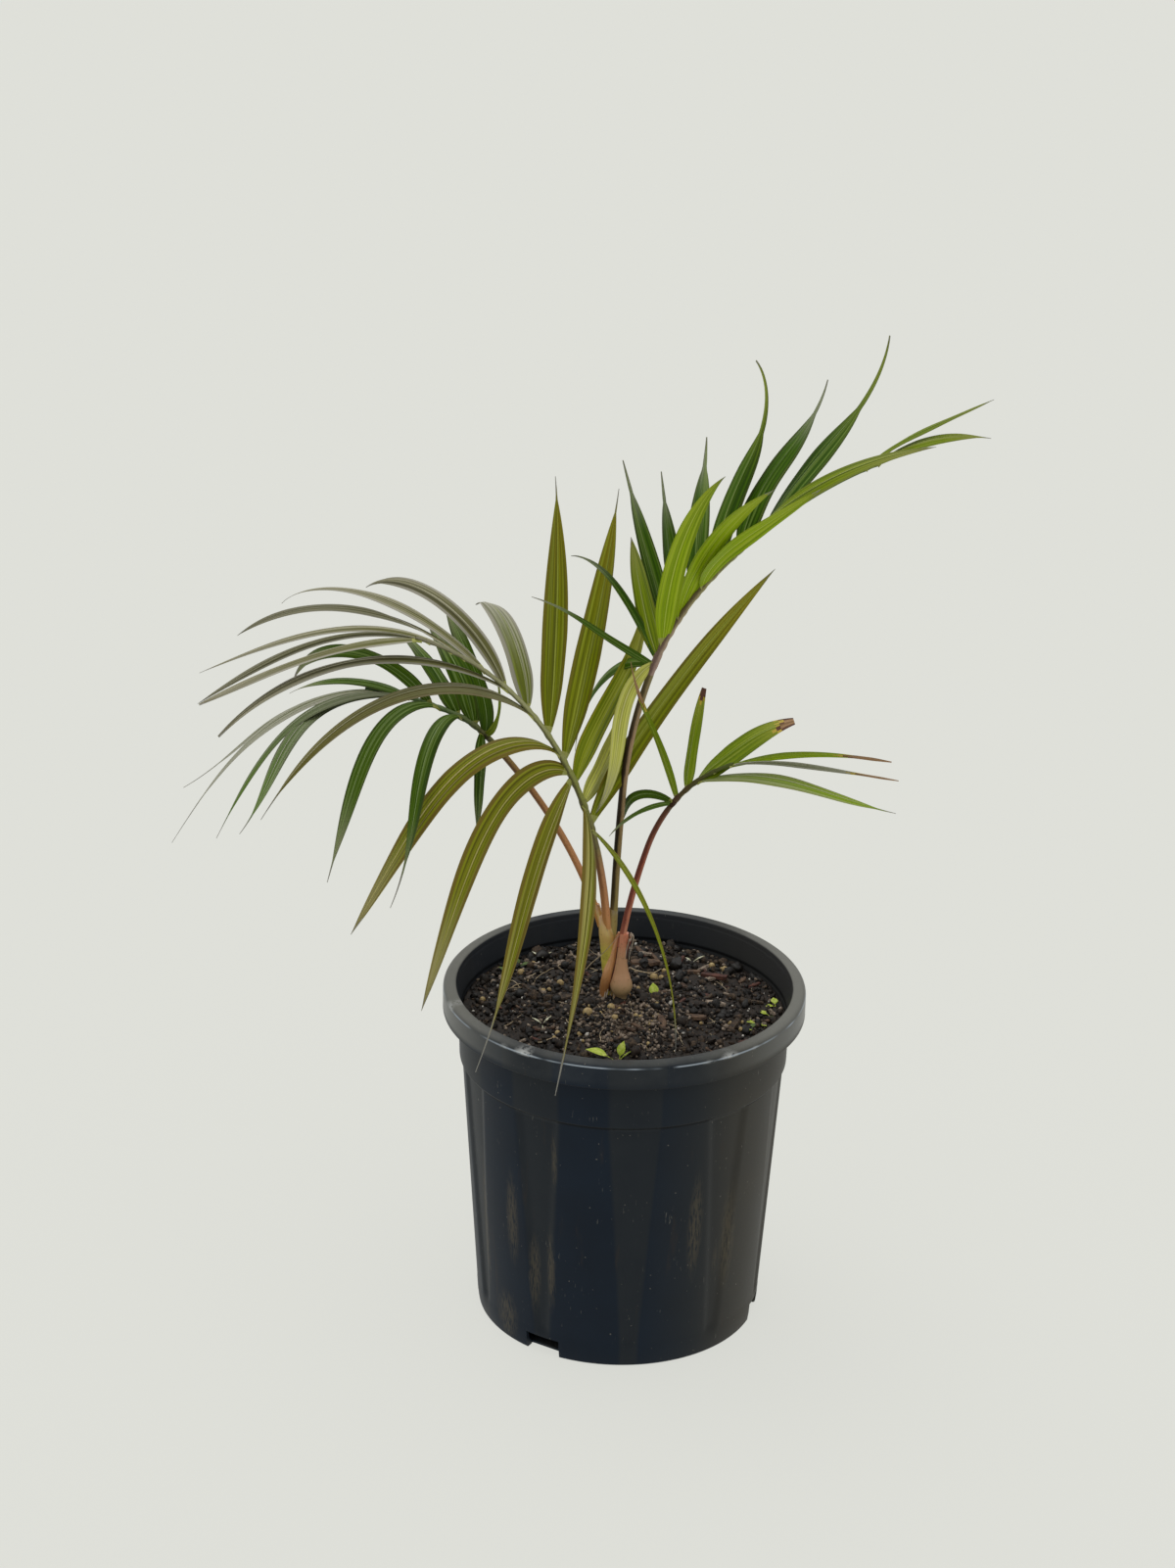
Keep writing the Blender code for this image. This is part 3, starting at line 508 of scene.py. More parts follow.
def pot_material(name):
    """Black polypropylene, injection moulded: a satin blue-black skin. Dust greys the rim and the
    inside; the flutes and the right side are greyer, and the far right browner. Painted shade
    darkens the lines under the collar and the band, a painted highlight runs along the lip and
    a painted sheen lightens the rim towards its sides. Handling has scuffed the lip white, and
    muddy water has dried in brown runs."""
    tree, shader = start_material(name, IOR=1.49, Specular_IOR_Level=0.14)
    at = solid_place(tree)
    axes = parts_of(tree, at)
    right, height = axes["X"], axes["Z"]
    normal = add_node(tree, "NewGeometry").outputs["Normal"]
    tall = stretched(tree, at, (1.0, 1.0, 0.14))
    low = stretched(tree, at, (1.0, 1.0, 2.5))
    broad = noise(tree, at, 30 * MM, 4.0)
    grit = noise(tree, at, 1.1 * MM, 3.0)
    fine_run = noise(tree, tall, 0.9 * MM, 2.0)
    wear = noise(tree, low, 2.6 * MM, 5.0, 0.7)
    sideways = smooth_step(tree, combine(tree, "ABSOLUTE", right), 50 * MM, 92 * MM)
    patchy = spread(tree, broad, 0.2, 0.7)

    # The flutes and the right side are greyer, and the far right browner.
    turn = times(tree, combine(tree, "ARCTAN2", axes["Y"], right), 180 / math.pi)
    off = combine(tree, "PINGPONG", plus(tree, turn, 360 - FLUTE_FIRST), FLUTE_PITCH / 2)
    half = map_range(tree, height, FLUTE_FOOT * MM, FLUTE_TOP * MM,
                     FLUTE_HALF_FOOT, FLUTE_HALF_TOP)
    flute = smooth_step(tree, combine(tree, "SUBTRACT", half, off), -0.6, 1.4)
    flutes_and_right_greyer = combine(tree, "MAXIMUM", times(tree, flute, patchy),
                      smooth_step(tree, right, 5 * MM, 62 * MM, end=0.75))
    far_right = times(tree, smooth_step(tree, right, 38 * MM, 72 * MM), patchy)

    # Muddy water has dried in faint runs all over and in stronger ones at the marks.
    faint_runs = smooth_step(tree, noise(tree, tall, 8 * MM, 4.0, 0.6), 0.6, 0.8, end=0.4)
    muddy = times(tree, nearest(tree, at, BROWN_RUNS),
                  smooth_step(tree, fine_run, 0.36, 0.56, end=0.6))

    # The skin that faces the pot's axis is its inside.
    to_axis = stretched(tree, at, (-1.0, -1.0, 0.0))
    inward = add_node(tree, "VectorMath", {0: normal, 1: to_axis}, operation="DOT_PRODUCT")
    inside = smooth_step(tree, inward.outputs["Value"], 0.0, 30 * MM)
    inner_dust = times(tree, inside, spread(tree, broad, 0.4, 0.8))
    scratch = times(tree, smooth_step(tree, fine_run, 0.66, 0.72, end=0.3),
                    smooth_step(tree, noise(tree, at, 17 * MM, 2.0), 0.56, 0.66))

    # The rim's band carries dust and a painted sheen that grows towards its sides; its top
    # carries dust and the same painted sheen towards the sides.
    band_foot = POT_HEIGHT - RIM_BAND
    band = smooth_step(tree, height, band_foot * MM, (band_foot + 5) * MM)
    outside = combine(tree, "SUBTRACT", band, times(tree, inside, band))
    band_dust_and_sheen = plus(tree, spread(tree, broad, -0.1, 0.22), times(tree, sideways, 0.72))
    band_dust_and_sheen = times(tree, outside, band_dust_and_sheen)
    top = smooth_step(tree, parts_of(tree, normal)["Z"], 0.35, 0.98)
    top_dust_and_sheen = plus(tree, spread(tree, broad, 0.0, 0.45), times(tree, sideways, 0.7))
    top_dust_and_sheen = times(tree, top, top_dust_and_sheen)

    # The lip has a broken painted highlight line along its outer edge, and white scuffs, the
    # strongest of them at the marks.
    edge = times(tree, line_round(tree, height, POT_HEIGHT - 2.3, 0.65), outside)
    edge = times(tree, edge, smooth_step(tree, noise(tree, at, 22 * MM, 2.0), 0.38, 0.6))
    scuff = times(tree, nearest(tree, at, LIP_SCUFFS), smooth_step(tree, wear, 0.4, 0.5))
    scuff = combine(tree, "MAXIMUM", scuff, smooth_step(tree, wear, 0.72, 0.8))
    scuff = times(tree, scuff, smooth_step(
        tree, height, (POT_HEIGHT - 3.8) * MM, (POT_HEIGHT - 1.6) * MM,
        end=bpy.context.scene.palm_pot.rim_scuff))
    specks = smooth_step(tree, noise(tree, at, 2.1 * MM, 1.0), 0.76, 0.8, end=0.45)

    colour = lay_over(
        tree, mix_colours(tree, broad, "#0B1521", "#142231"),
        (flutes_and_right_greyer, "#2B2D2C"),
        (far_right, "#4A4438"),
        (faint_runs, "#3B3026"),
        (muddy, "#554E40"),
        (inner_dust, "#3E4043"),
        (scratch, "#8C8A80"),
        # Painted shade: dark lines under the collar's foot and under the band's foot.
        (line_round(tree, height, POT_HEIGHT - COLLAR_DEPTH - 0.6, 1.6, 0.85), "#020406"),
        (line_round(tree, height, band_foot - 0.4, 1.4, 0.85), "#020406"),
        (band_dust_and_sheen, "#6C6D6A"),
        (combine(tree, "MINIMUM", top_dust_and_sheen, 0.95), "#74746E"),
        (edge, "#98A2AC"),
        (scuff, "#DCDEDC"),
        (specks, "#7E7B72"))

    # Dust dulls the skin, and handling has polished the band.
    rough = plus(tree, spread(tree, broad, 0.4, 0.52), times(tree, top_dust_and_sheen, 0.2))
    rough = combine(tree, "SUBTRACT", rough, times(tree, outside, 0.16))
    relief = plus(tree, times(tree, grit, 0.4), broad)
    finish_with(tree, shader, colour, rough, relief, 0.08)


def grain_material(name, main, second, roughness, size=1.8):
    """Crumbs of the mix, composted: damp and matt, mottled in two colours."""
    tree, shader = start_material(name, IOR=1.4)
    mottle = noise(tree, solid_place(tree), size * MM, 4.0, 0.65)
    colour = mix_colours(tree, smooth_step(tree, mottle, 0.38, 0.64), main, second)
    rough = spread(tree, mottle, roughness - 0.15, roughness + 0.1)
    finish_with(tree, shader, colour, rough, mottle, 0.6)


def floor_material(name):
    """Opal acrylic sheet, cast and lit evenly from below: a plain pale ground on which
    shadows stay faint."""
    settings = bpy.context.scene.palm_stage
    start_material(name, IOR=1.4, Specular_IOR_Level=0.0, Roughness=0.95,
                   Base_Color=linear(settings.floor_colour),
                   Emission_Color=linear(settings.glow_colour),
                   Emission_Strength=settings.glow_strength)


# Every finish but the leaves': the function that makes it and what that takes.
FINISHES = {
    "moulded_polypropylene": (pot_material,),
    "damp_peat": (grain_material, "#16110D", "#322820", 0.7),
    "black_crumb": (grain_material, "#090807", "#1D1814", 0.5),
    "brown_crumb": (grain_material, "#2C231C", "#564636", 0.8),
    "grey_crumb": (grain_material, "#5E5246", "#A09080", 0.85),
    "pine_bark": (grain_material, "#3A2A21", "#66503E", 0.75, 4.0),
    "red_bark": (grain_material, "#3A1F19", "#5E382B", 0.7, 4.0),
    "coated_prill": (grain_material, "#9C8458", "#B8A272", 0.5),
    "perlite": (grain_material, "#B9B4AA", "#E2DED6", 0.9),
    "root_fibre": (grain_material, "#9E8A6C", "#C4B498", 0.8),
    "seedling_leaf": (grain_material, "#A2B82E", "#C4CE62", 0.4),
    "etiolated_sprout": (grain_material, "#B9B795", "#D8D8C0", 0.5),
    "moss_leaf": (grain_material, "#3F5226", "#5C7034", 0.6),
    "bulb_sheath": (sheath_material, "#B89C70", "#DCAA80", "#DA8A6A"),
    "orange_sheath": (sheath_material, "#B07A48", "#E2A66C", "#CC8C64"),
    "yellow_sheath": (sheath_material, "#D2BE50", "#ECDD62", "#E6D86C"),
    "arm_sheath": (sheath_material, "#E0D25C", "#D8B468", "#C89A68"),
    "olive_sheath": (sheath_material, "#C0B068", "#B4A260", "#988656"),
    "dead_sheath": (sheath_material, "#4A2018", "#7C3A2C", "#90483A"),
    "torn_edge": (streaked_material, "#CFC4B4", "#9C8468", 0.6),
    # Each stalk and rib takes two runs of colours: painted shade first, then painted light.
    "scurfy_stalk": (limb_material,
                     ((0.0, "#8C7C50"), (0.12, "#443A20"), (0.3, "#1E170A"), (0.75, "#3A2C1E"),
                      (1.0, "#5A5034")),
                     ((0.0, "#B0A060"), (0.14, "#9C8A54"), (0.3, "#8C7648"), (0.75, "#AE9070"),
                      (1.0, "#8C8058"))),
    "tall_rib": (limb_material,
                 ((0.0, "#6E5850"), (0.3, "#6B6040"), (0.7, "#5E6A34"), (1.0, "#4C5E2C")),
                 ((0.0, "#B09488"), (0.3, "#A8A070"), (0.7, "#8A9A54"), (1.0, "#6E8444"))),
    "reddened_stalk": (limb_material,
                       ((0.0, "#B06C54"), (0.2, "#84483A"), (0.6, "#6A3428"), (1.0, "#5A3A2A")),
                       ((0.0, "#E0A688"), (0.2, "#CC8468"), (0.6, "#A8604A"), (1.0, "#7E5846"))),
    "right_rib": (limb_material,
                  ((0.0, "#4E3426"), (0.5, "#4C4A26"), (1.0, "#54602C")),
                  ((0.0, "#705846"), (0.5, "#6E7040"), (1.0, "#76843E"))),
    "orange_stalk": (limb_material,
                     ((0.0, "#C8904E"), (0.3, "#B07A4C"), (0.75, "#7A5436"), (1.0, "#5E4E30")),
                     ((0.0, "#DCA468"), (0.3, "#DC9E6C"), (0.75, "#BC8A60"), (1.0, "#8E8454"))),
    "middle_rib": (limb_material,
                   ((0.0, "#4E4230"), (0.2, "#5E5C34"), (0.6, "#74744A"), (1.0, "#5C5A3C")),
                   ((0.0, "#7E7450"), (0.2, "#8C9048"), (0.6, "#A4A478"), (1.0, "#84806A"))),
    "left_rib": (limb_material,
                 ((0.0, "#4E4A30"), (0.3, "#42552C"), (0.7, "#405A2C"), (1.0, "#34502A")),
                 ((0.0, "#7C7850"), (0.3, "#77885A"), (0.7, "#6C845A"), (1.0, "#547048"))),
    "dry_leaf": (streaked_material, "#8E6C4A", "#B08C66", 0.75),
    "scorched_leaf": (streaked_material, "#4A2A20", "#6E4430", 0.7),
    "yellowing_leaf": (streaked_material, "#B4A22E", "#C8A840", 0.5),
    "thread_tip": (streaked_material, "#76746A", "#A09D94", 0.7),
    "pulvinus": (streaked_material, "#8E9440", "#A8A65C", 0.45),
    "opal_acrylic": (floor_material,),
}


def material_named(name):
    """The material of a finish, made the first time that it is asked for."""
    if name not in bpy.data.materials:
        if name.startswith("leaf_"):
            leaf_material(name, TONES[name.removeprefix("leaf_")])
        elif name.startswith("midrib_"):
            tone = TONES[name.removeprefix("midrib_")]
            streaked_material(name, tone.midrib, tone.blade, 0.42)
        else:
            make, *values = FINISHES[name]
            make(name, *values)
    return bpy.data.materials[name]


class Shape:
    """Closed bodies that gather into one piece: points in millimetres, each with a place
    for its material, and faces, each with a finish."""

    def __init__(self):
        self.points, self.places, self.faces, self.finishes, self.count = [], [], [], [], 0

    def add(self, points, faces, finish, places=None):
        """Take in one body. Its finish is one name, or a name for each face."""
        points = np.asarray(points, dtype=float).reshape(-1, 3)
        self.points.append(points)
        self.places.append(np.zeros_like(points) if places is None else np.asarray(places))
        self.faces += [tuple(self.count + corner for corner in face) for face in faces]
        self.finishes += [finish] * len(faces) if isinstance(finish, str) else list(finish)
        self.count += len(points)

    def make_piece(self, name, slot, replaces=(), sharp_above=50):
        """The piece, in metres: it rides on the frame and stands for the nodes that it replaces.
        Its slot is not used."""
        mesh = bpy.data.meshes.new(name)
        mesh.from_pydata((np.concatenate(self.points) * MM).tolist(), [], self.faces)
        used = sorted(set(self.finishes))
        for finish in used:
            mesh.materials.append(material_named(finish))
        number = {finish: index for index, finish in enumerate(used)}
        mesh.polygons.foreach_set("material_index", [number[finish] for finish in self.finishes])
        place = mesh.attributes.new("place", "FLOAT_VECTOR", "POINT")
        place.data.foreach_set("vector", np.concatenate(self.places).ravel())
        mesh.shade_smooth()
        mesh.set_sharp_from_angle(angle=math.radians(sharp_above))
        piece = bpy.data.objects.new(name, mesh)
        bpy.context.scene.collection.objects.link(piece)
        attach(piece, "root")
        if replaces:
            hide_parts(*replaces)
        return piece


def ring_faces(rings, sides):
    """Faces of a closed lofted body whose rings follow each other in one list of points."""
    faces = []
    for low in range(0, (rings - 1) * sides, sides):
        for side in range(sides):
            after = (side + 1) % sides
            faces.append((low + side, low + after, low + sides + after, low + sides + side))
    faces.append(tuple(reversed(range(sides))))
    faces.append(tuple(range((rings - 1) * sides, rings * sides)))
    return faces


def direction(heading, rise):
    """The unit vector of a heading and a rise in degrees."""
    turn, lift = math.radians(heading), math.radians(rise)
    level = math.cos(lift)
    return np.array([level * math.cos(turn), level * math.sin(turn), math.sin(lift)])


def unit(vector):
    """The vector at length one."""
    return vector / np.linalg.norm(vector)


def limb_path(limb):
    """Points a millimetre apart along a limb, from the stem to the rib's tip."""
    points = [np.array(limb.start, dtype=float)]
    heading, rise = limb.heading, limb.rise
    for leg in limb.stalk + limb.rib:
        for step in range(leg.length):
            part = (step + 0.5) / leg.length
            ahead = direction(heading + (leg.heading - heading) * part,
                              rise + (leg.rise - rise) * part)
            points.append(points[-1] + ahead)
        heading, rise = leg.heading, leg.rise
    return np.array(points)


def stalk_length(limb):
    """The length of a limb below its first leaflet."""
    return sum(leg.length for leg in limb.stalk)


def along(path, distance):
    """The point of a path, stepped in millimetres, at a distance from its start."""
    before = min(int(distance), len(path) - 2)
    return path[before] + (path[before + 1] - path[before]) * (distance - before)


def stretch(path, start, end, spacing):
    """Evenly spaced points of a path between two distances."""
    count = max(3, round((end - start) / spacing) + 1)
    return np.array([along(path, distance) for distance in np.linspace(start, end, count)])


def tangents(points):
    """Unit directions along a line of points."""
    steps = np.gradient(points, axis=0)
    return steps / np.linalg.norm(steps, axis=1)[:, None]


def carry_across(across, ahead):
    """The across direction turned to stay square to the way ahead."""
    return unit(across - ahead * np.dot(across, ahead))


# The way the painted light on stalks comes from: skin facing it takes the light run of
# colours, and skin facing away takes the painted shade run.
LIGHT_SIDE = unit(np.array([1.0, -0.4, 0.3]))


def tube(points, radii, sides, ridges=0.0):
    """Points, faces and places of a round limb. A place says how far the skin faces the
    light side and how far along it lies."""
    ways = tangents(points)
    across = carry_across(np.array([0.0, 1.0, 0.0]), ways[0])
    turns = np.arange(sides) * 2 * math.pi / sides
    rings, places = [], []
    for part, point, way, radius in zip(np.linspace(0, 1, len(points)), points, ways, radii):
        across = carry_across(across, way)
        other = np.cross(way, across)
        outward = np.outer(np.cos(turns), across) + np.outer(np.sin(turns), other)
        swell = radius * (1 + ridges * np.cos(turns * (sides // 2)))
        rings.append(point + outward * swell[:, None])
        facing = outward @ LIGHT_SIDE
        places.append(np.stack([facing, np.full(sides, part), np.zeros(sides)], axis=1))
    return np.concatenate(rings), ring_faces(len(points), sides), np.concatenate(places)


# Where along a leaflet its tip starts to curl on.
CURL_START = 0.5


def leaflet_path(leaflet, foot, stations):
    """Points of a leaflet's middle line: one arc over its straight reach, then a tip that
    curls on."""
    chord = direction(leaflet.heading, leaflet.rise)
    left = direction(leaflet.heading + 90, 0)
    bend = math.hypot(leaflet.arch, leaflet.side)
    bulge = leaflet.arch * np.cross(chord, left) + leaflet.side * left
    bulge = bulge / max(bend, 1e-6)
    middles = (np.arange(stations) + 0.5) / stations
    back = np.clip((middles - CURL_START) / (1 - CURL_START), 0, 1) ** 1.5
    angles = math.radians(bend) * (1 - middles) ** leaflet.hook + math.radians(leaflet.curl) * back
    ahead = np.concatenate([[0], np.cumsum(np.cos(angles))])
    aside = np.concatenate([[0], np.cumsum(np.sin(angles))])
    tilt = math.atan2(aside[-1], ahead[-1])
    scale = leaflet.reach / math.hypot(ahead[-1], aside[-1])
    straight = (ahead * math.cos(tilt) + aside * math.sin(tilt)) * scale
    bowed = (aside * math.cos(tilt) - ahead * math.sin(tilt)) * scale
    return foot + np.outer(straight, chord) + np.outer(bowed, bulge)


# Places across a blade from the midrib at 0 to the margin at 1, for half of its section, and
# how far across the midrib reaches.
HALF_SECTION = (0.0, 0.055, 0.12, 0.3, 0.48, 0.66, 0.84, 1.0)
MIDRIB_REACH = 0.06

# Where along a blade it is widest, how wide its foot is, how far along that reaches and how
# much thicker it is, and the share of its tail's width that is left at the end.
BLADE_WIDEST = 0.23
FOOT_WIDTH = 2.2
FOOT_SHARE = 0.035
FOOT_SWELL = 1.2
TAIL_END = 0.3

# Shares of a blade's half width: the slow wave along it, its pleats, how far the midrib
# stands up and how much it adds to the thickness.
WAVE_SHARE = 0.05
PLEAT_SHARE = 0.012
MIDRIB_RAISE = 0.03
MIDRIB_SWELL = 0.05

# Above this, a leaflet points so nearly along its rib that the rib can't give its across.
END_ON = 0.9

# A leaflet's number is the seed of its random draws. Times the golden share, it also gives
# the leaflet's own place in its material.
FIRST_LEAFLET_NUMBER = 100
GOLDEN_SHARE = 0.618


def blade_width(part, leaflet, tip):
    """A lance-shaped leaflet's width at a part of its length, with its tail."""
    if part < BLADE_WIDEST:
        swell = math.sin(math.pi / 2 * part / BLADE_WIDEST) ** 0.8
        return FOOT_WIDTH + (leaflet.width - FOOT_WIDTH) * swell
    taper = min(1.0, (part - BLADE_WIDEST) / (tip.end - BLADE_WIDEST))
    tail = tip.width * np.interp(part, (min(tip.end, 0.9), 1), (1, TAIL_END))
    return max(leaflet.width * (1 - taper ** tip.late), tail)


def blade_finish(leaflet, part, place, chance):
    """The finish of a blade's face at a part of its length and a place across it."""
    dry = TIPS[leaflet.tip].dry
    edge = dry + chance.uniform(-0.012, 0.012) + 0.03 * math.sin(place * 3 + dry * 40)
    dying = leaflet.tip in ("yellow", "dry", "blunt", "cut")
    if part > edge:
        if not dying:
            return "thread_tip"
        scorched = part < edge + 0.03 or leaflet.tip == "cut" and abs(place) > 0.7
        return "scorched_leaf" if scorched or leaflet.tip == "blunt" else "dry_leaf"
    if part > edge - 0.03 and dying:
        return "yellowing_leaf"
    if part < FOOT_SHARE:
        return "pulvinus"
    return ("midrib_" if abs(place) < MIDRIB_REACH else "leaf_") + leaflet.tone


def add_blade(shape, leaflet, foot, rib_way, number):
    """Add one leaflet: a folded, pleated blade with a raised midrib, closed and thin."""
    settings = bpy.context.scene.palm_leaves
    chance = np.random.default_rng(number)
    tip = TIPS[leaflet.tip]
    stations = max(24, round(leaflet.reach / BLADE_STEP))
    line = leaflet_path(leaflet, foot, stations)
    ways = tangents(line)
    end_on = abs(np.dot(rib_way, ways[0])) > END_ON
    across = np.cross(ways[0], (0, 0, 1)) if end_on else rib_way
    half_section = np.array(HALF_SECTION)
    section = np.concatenate([-half_section[:0:-1], half_section])
    wave_start, wave_turns = chance.uniform(0, 6.28), chance.uniform(1.2, 2.6)
    twist = leaflet.roll + chance.uniform(-6, 6)
    rings, places = [], []
    for station in range(stations + 1):
        part = station / stations
        way = ways[station]
        across = carry_across(across, way)
        normal = np.cross(across, way)
        if normal[2] < 0 and station == 0:
            across, normal = -across, -normal
        roll = math.radians(twist * min(1.0, part * 2.5))
        flat = across * math.cos(roll) + normal * math.sin(roll)
        up = np.cross(flat, way)
        half = blade_width(part, leaflet, tip) / 2
        fold = math.tan(math.radians(settings.fold * (1 - 0.5 * part)))
        wave = WAVE_SHARE * half * math.sin(wave_start + part * wave_turns * 2 * math.pi)
        height = half * fold * (0.5 - np.abs(section)) + wave * section
        height += PLEAT_SHARE * half * np.cos(np.abs(section) * 6 * math.pi)
        height += np.where(np.abs(section) < MIDRIB_REACH, MIDRIB_RAISE * half, 0)
        skin = settings.thickness * (1 - 0.45 * np.abs(section)) * (1 - 0.4 * part)
        skin += np.where(np.abs(section) < MIDRIB_REACH, MIDRIB_SWELL * half, 0)
        skin += max(0.0, 1 - part / FOOT_SHARE) * FOOT_SWELL
        base = line[station] + np.outer(section * half, flat)
        upper = base + np.outer(height, up)
        lower = base + np.outer(height - skin, up)
        rings.append(np.concatenate([upper, lower[::-1]]))
        across_place = np.concatenate([section, section[::-1]])
        places.append(np.stack([across_place, np.full(len(across_place), part),
                                np.full(len(across_place), number * GOLDEN_SHARE % 1)], axis=1))
    sides = len(rings[0])
    points = np.concatenate(rings)
    faces = ring_faces(len(rings), sides)
    middles = 0.5 * (section[1:] + section[:-1])
    face_places = np.concatenate([middles, [1.0], middles[::-1], [-1.0]])
    finishes = [blade_finish(leaflet, (ring + 0.5) / stations, face_places[side], chance)
                for ring in range(stations) for side in range(sides)]
    finishes += ["pulvinus", finishes[-1]]
    shape.add(points, faces, finishes, np.concatenate(places))


# How far the joint of a leaflet reaches along the rib, and how much it thickens it.
JOINT_REACH = 2.4
JOINT_SWELL = 0.16


def make_frond(name, limb, leaflets, first_number):
    """The shapes of a frond's rib and of its leaflets."""
    path = limb_path(limb)
    start = stalk_length(limb)
    length = len(path) - 1 - start
    ways = tangents(path)
    rib = Shape()
    line = stretch(path, start - RIB_LEAD, start + length, LIMB_STEP)
    radii = np.linspace(limb.radii[1], limb.radii[2], len(line)) * 0.95
    points, faces, places = tube(line, radii, LIMB_SIDES, ridges=0.03)
    rib.add(points, faces, name + "_rib", places)
    blades = Shape()
    for number, leaflet in enumerate(leaflets):
        distance = start + np.clip(leaflet.at * length, 1.5, length - 1.5)
        foot = along(path, distance)
        add_blade(blades, leaflet, foot, ways[int(distance)], first_number + number)
        joint_end = min(distance + JOINT_REACH, len(path) - 1.001)
        joint = stretch(path, max(distance - JOINT_REACH, 0), joint_end, 0.8)
        radius = np.interp(distance, (start, start + length), limb.radii[1:])
        swell = radius * (1 + JOINT_SWELL * np.sin(np.linspace(0, math.pi, len(joint))))
        points, faces, places = tube(joint, swell, LIMB_SIDES)
        rib.add(points, faces, name + "_rib", places * (1, 0, 1) + (0, leaflet.at, 0))
    return rib, blades


# The stalk's finish, its own record slot and its frond's record slot, for each limb. No
# finish shares a slot's name, because the frame brings a plain material of that name.
LIMB_LOOKS = {
    "tall": ("scurfy_stalk", "dark_stalk", "bright_leaflets"),
    "right": ("reddened_stalk", "red_stalk", "bright_leaflets"),
    "middle": ("orange_stalk", "tan_stalk", "olive_leaflets"),
    "left": ("orange_stalk", "tan_stalk", "dark_leaflets"),
}


def wall_depth(turns, height):
    """How far the flutes draw the wall in, at headings in degrees and a height."""
    half = np.interp(height, (FLUTE_FOOT, FLUTE_TOP), (FLUTE_HALF_FOOT, FLUTE_HALF_TOP))
    off = np.abs((turns - FLUTE_FIRST + FLUTE_PITCH / 2) % FLUTE_PITCH - FLUTE_PITCH / 2)
    side = np.clip((half - off) / FLUTE_SIDE, 0, 1)
    side = side * side * (3 - 2 * side)
    ends = np.interp(height, (FLUTE_FOOT - 4, FLUTE_FOOT, FLUTE_TOP, FLUTE_TOP + 0.8), (0, 1, 1, 0))
    return FLUTE_RECESS * side * ends


def wall_ring(radius, height):
    """Points of a ring round the pot, drawn in where the flutes run."""
    turns = np.arange(POT_SIDES) * 360 / POT_SIDES
    reach = radius - wall_depth(turns, height)
    around = np.radians(turns)
    heights = np.full(POT_SIDES, height)
    return np.stack([reach * np.cos(around), reach * np.sin(around), heights], axis=1)


def body_radius(height):
    """The outer radius of the pot's tapered body."""
    marks = (BODY_FOOT_HEIGHT, POT_HEIGHT - COLLAR_DEPTH)
    return float(np.interp(height, marks, (BODY_FOOT_RADIUS, BODY_TOP_RADIUS)))


def inner_radius(height):
    """The radius of the pot's inner wall, which follows the body and then the collar."""
    top = POT_HEIGHT - COLLAR_DEPTH
    if height <= top:
        return body_radius(height) - WALL
    radii = (BODY_TOP_RADIUS - WALL, COLLAR_TOP_RADIUS - WALL, RIM_INNER_RADIUS)
    return float(np.interp(height, (top, POT_HEIGHT - RIM_BAND, POT_HEIGHT), radii))


def arc_corner(corner, radius, start, sweep=90, steps=5):
    """Points round a rounded corner's centre, as (radius from the axis, height)."""
    turns = np.radians(np.linspace(start, start + sweep, steps))
    return [(corner[0] + radius * math.cos(turn), corner[1] + radius * math.sin(turn))
            for turn in turns]


# Heights of the rings of the pot's body, close together at the ends of the flutes, and of
# those on the inside of its collar.
BODY_HEIGHTS = (*np.linspace(12, 22, 6), *np.linspace(30, 140, 12), *np.linspace(145, 151.5, 6))
COLLAR_INNER_HEIGHTS = (190, POT_HEIGHT - RIM_BAND, 172, 165, POT_HEIGHT - COLLAR_DEPTH)


def pot_outline():
    """The pot's section from the underside up the outside and down the inside."""
    band_foot = POT_HEIGHT - RIM_BAND
    collar_foot = POT_HEIGHT - COLLAR_DEPTH
    flange = POT_HEIGHT - WALL
    outline = [(BASE_RADIUS - 9, 0), (BASE_RADIUS - 8, 0.7), (BASE_RADIUS - 4, 0.7),
               (BASE_RADIUS - 3, 0)]
    outline += arc_corner((BASE_RADIUS, FOOT_ROUND), FOOT_ROUND, -90)
    outline += [(BASE_RADIUS + 2.1, 6)]
    outline += [(body_radius(height), height) for height in BODY_HEIGHTS]
    outline += [(BODY_TOP_RADIUS, collar_foot - 0.7), (COLLAR_RADIUS - 0.5, collar_foot - 0.2)]
    outline += arc_corner((COLLAR_RADIUS - 0.7, collar_foot + 0.9), 0.7, -60, 60, 4)
    outline += [(COLLAR_RADIUS + 0.2, collar_foot + 8), (COLLAR_TOP_RADIUS, band_foot - 1)]
    outline += [(COLLAR_TOP_RADIUS + 0.3, flange - 1.5), (COLLAR_TOP_RADIUS + 1.4, flange - 0.2),
                (RIM_RADIUS - WALL - 0.6, flange - 0.2), (RIM_RADIUS - WALL, flange - 0.8),
                (RIM_RADIUS - WALL, band_foot + 0.4)]
    outline += arc_corner((RIM_RADIUS - 0.8, band_foot + 0.8), 0.8, -150, 150, 6)
    outline += [(RIM_RADIUS, band_foot + 5), (RIM_RADIUS, POT_HEIGHT - 5)]
    outline += arc_corner((RIM_RADIUS - LIP_ROUND, POT_HEIGHT - LIP_ROUND), LIP_ROUND, 0, 90, 9)
    outline += arc_corner((RIM_INNER_RADIUS + 1.0, POT_HEIGHT - 1.0), 1.0, 90, 90, 5)
    outline += [(inner_radius(height), height) for height in COLLAR_INNER_HEIGHTS]
    outline += [(inner_radius(height), height) for height in reversed(BODY_HEIGHTS)]
    outline += [(BASE_RADIUS - 0.6, BASE_PLATE + 3), (BASE_RADIUS - 3, BASE_PLATE)]
    return outline


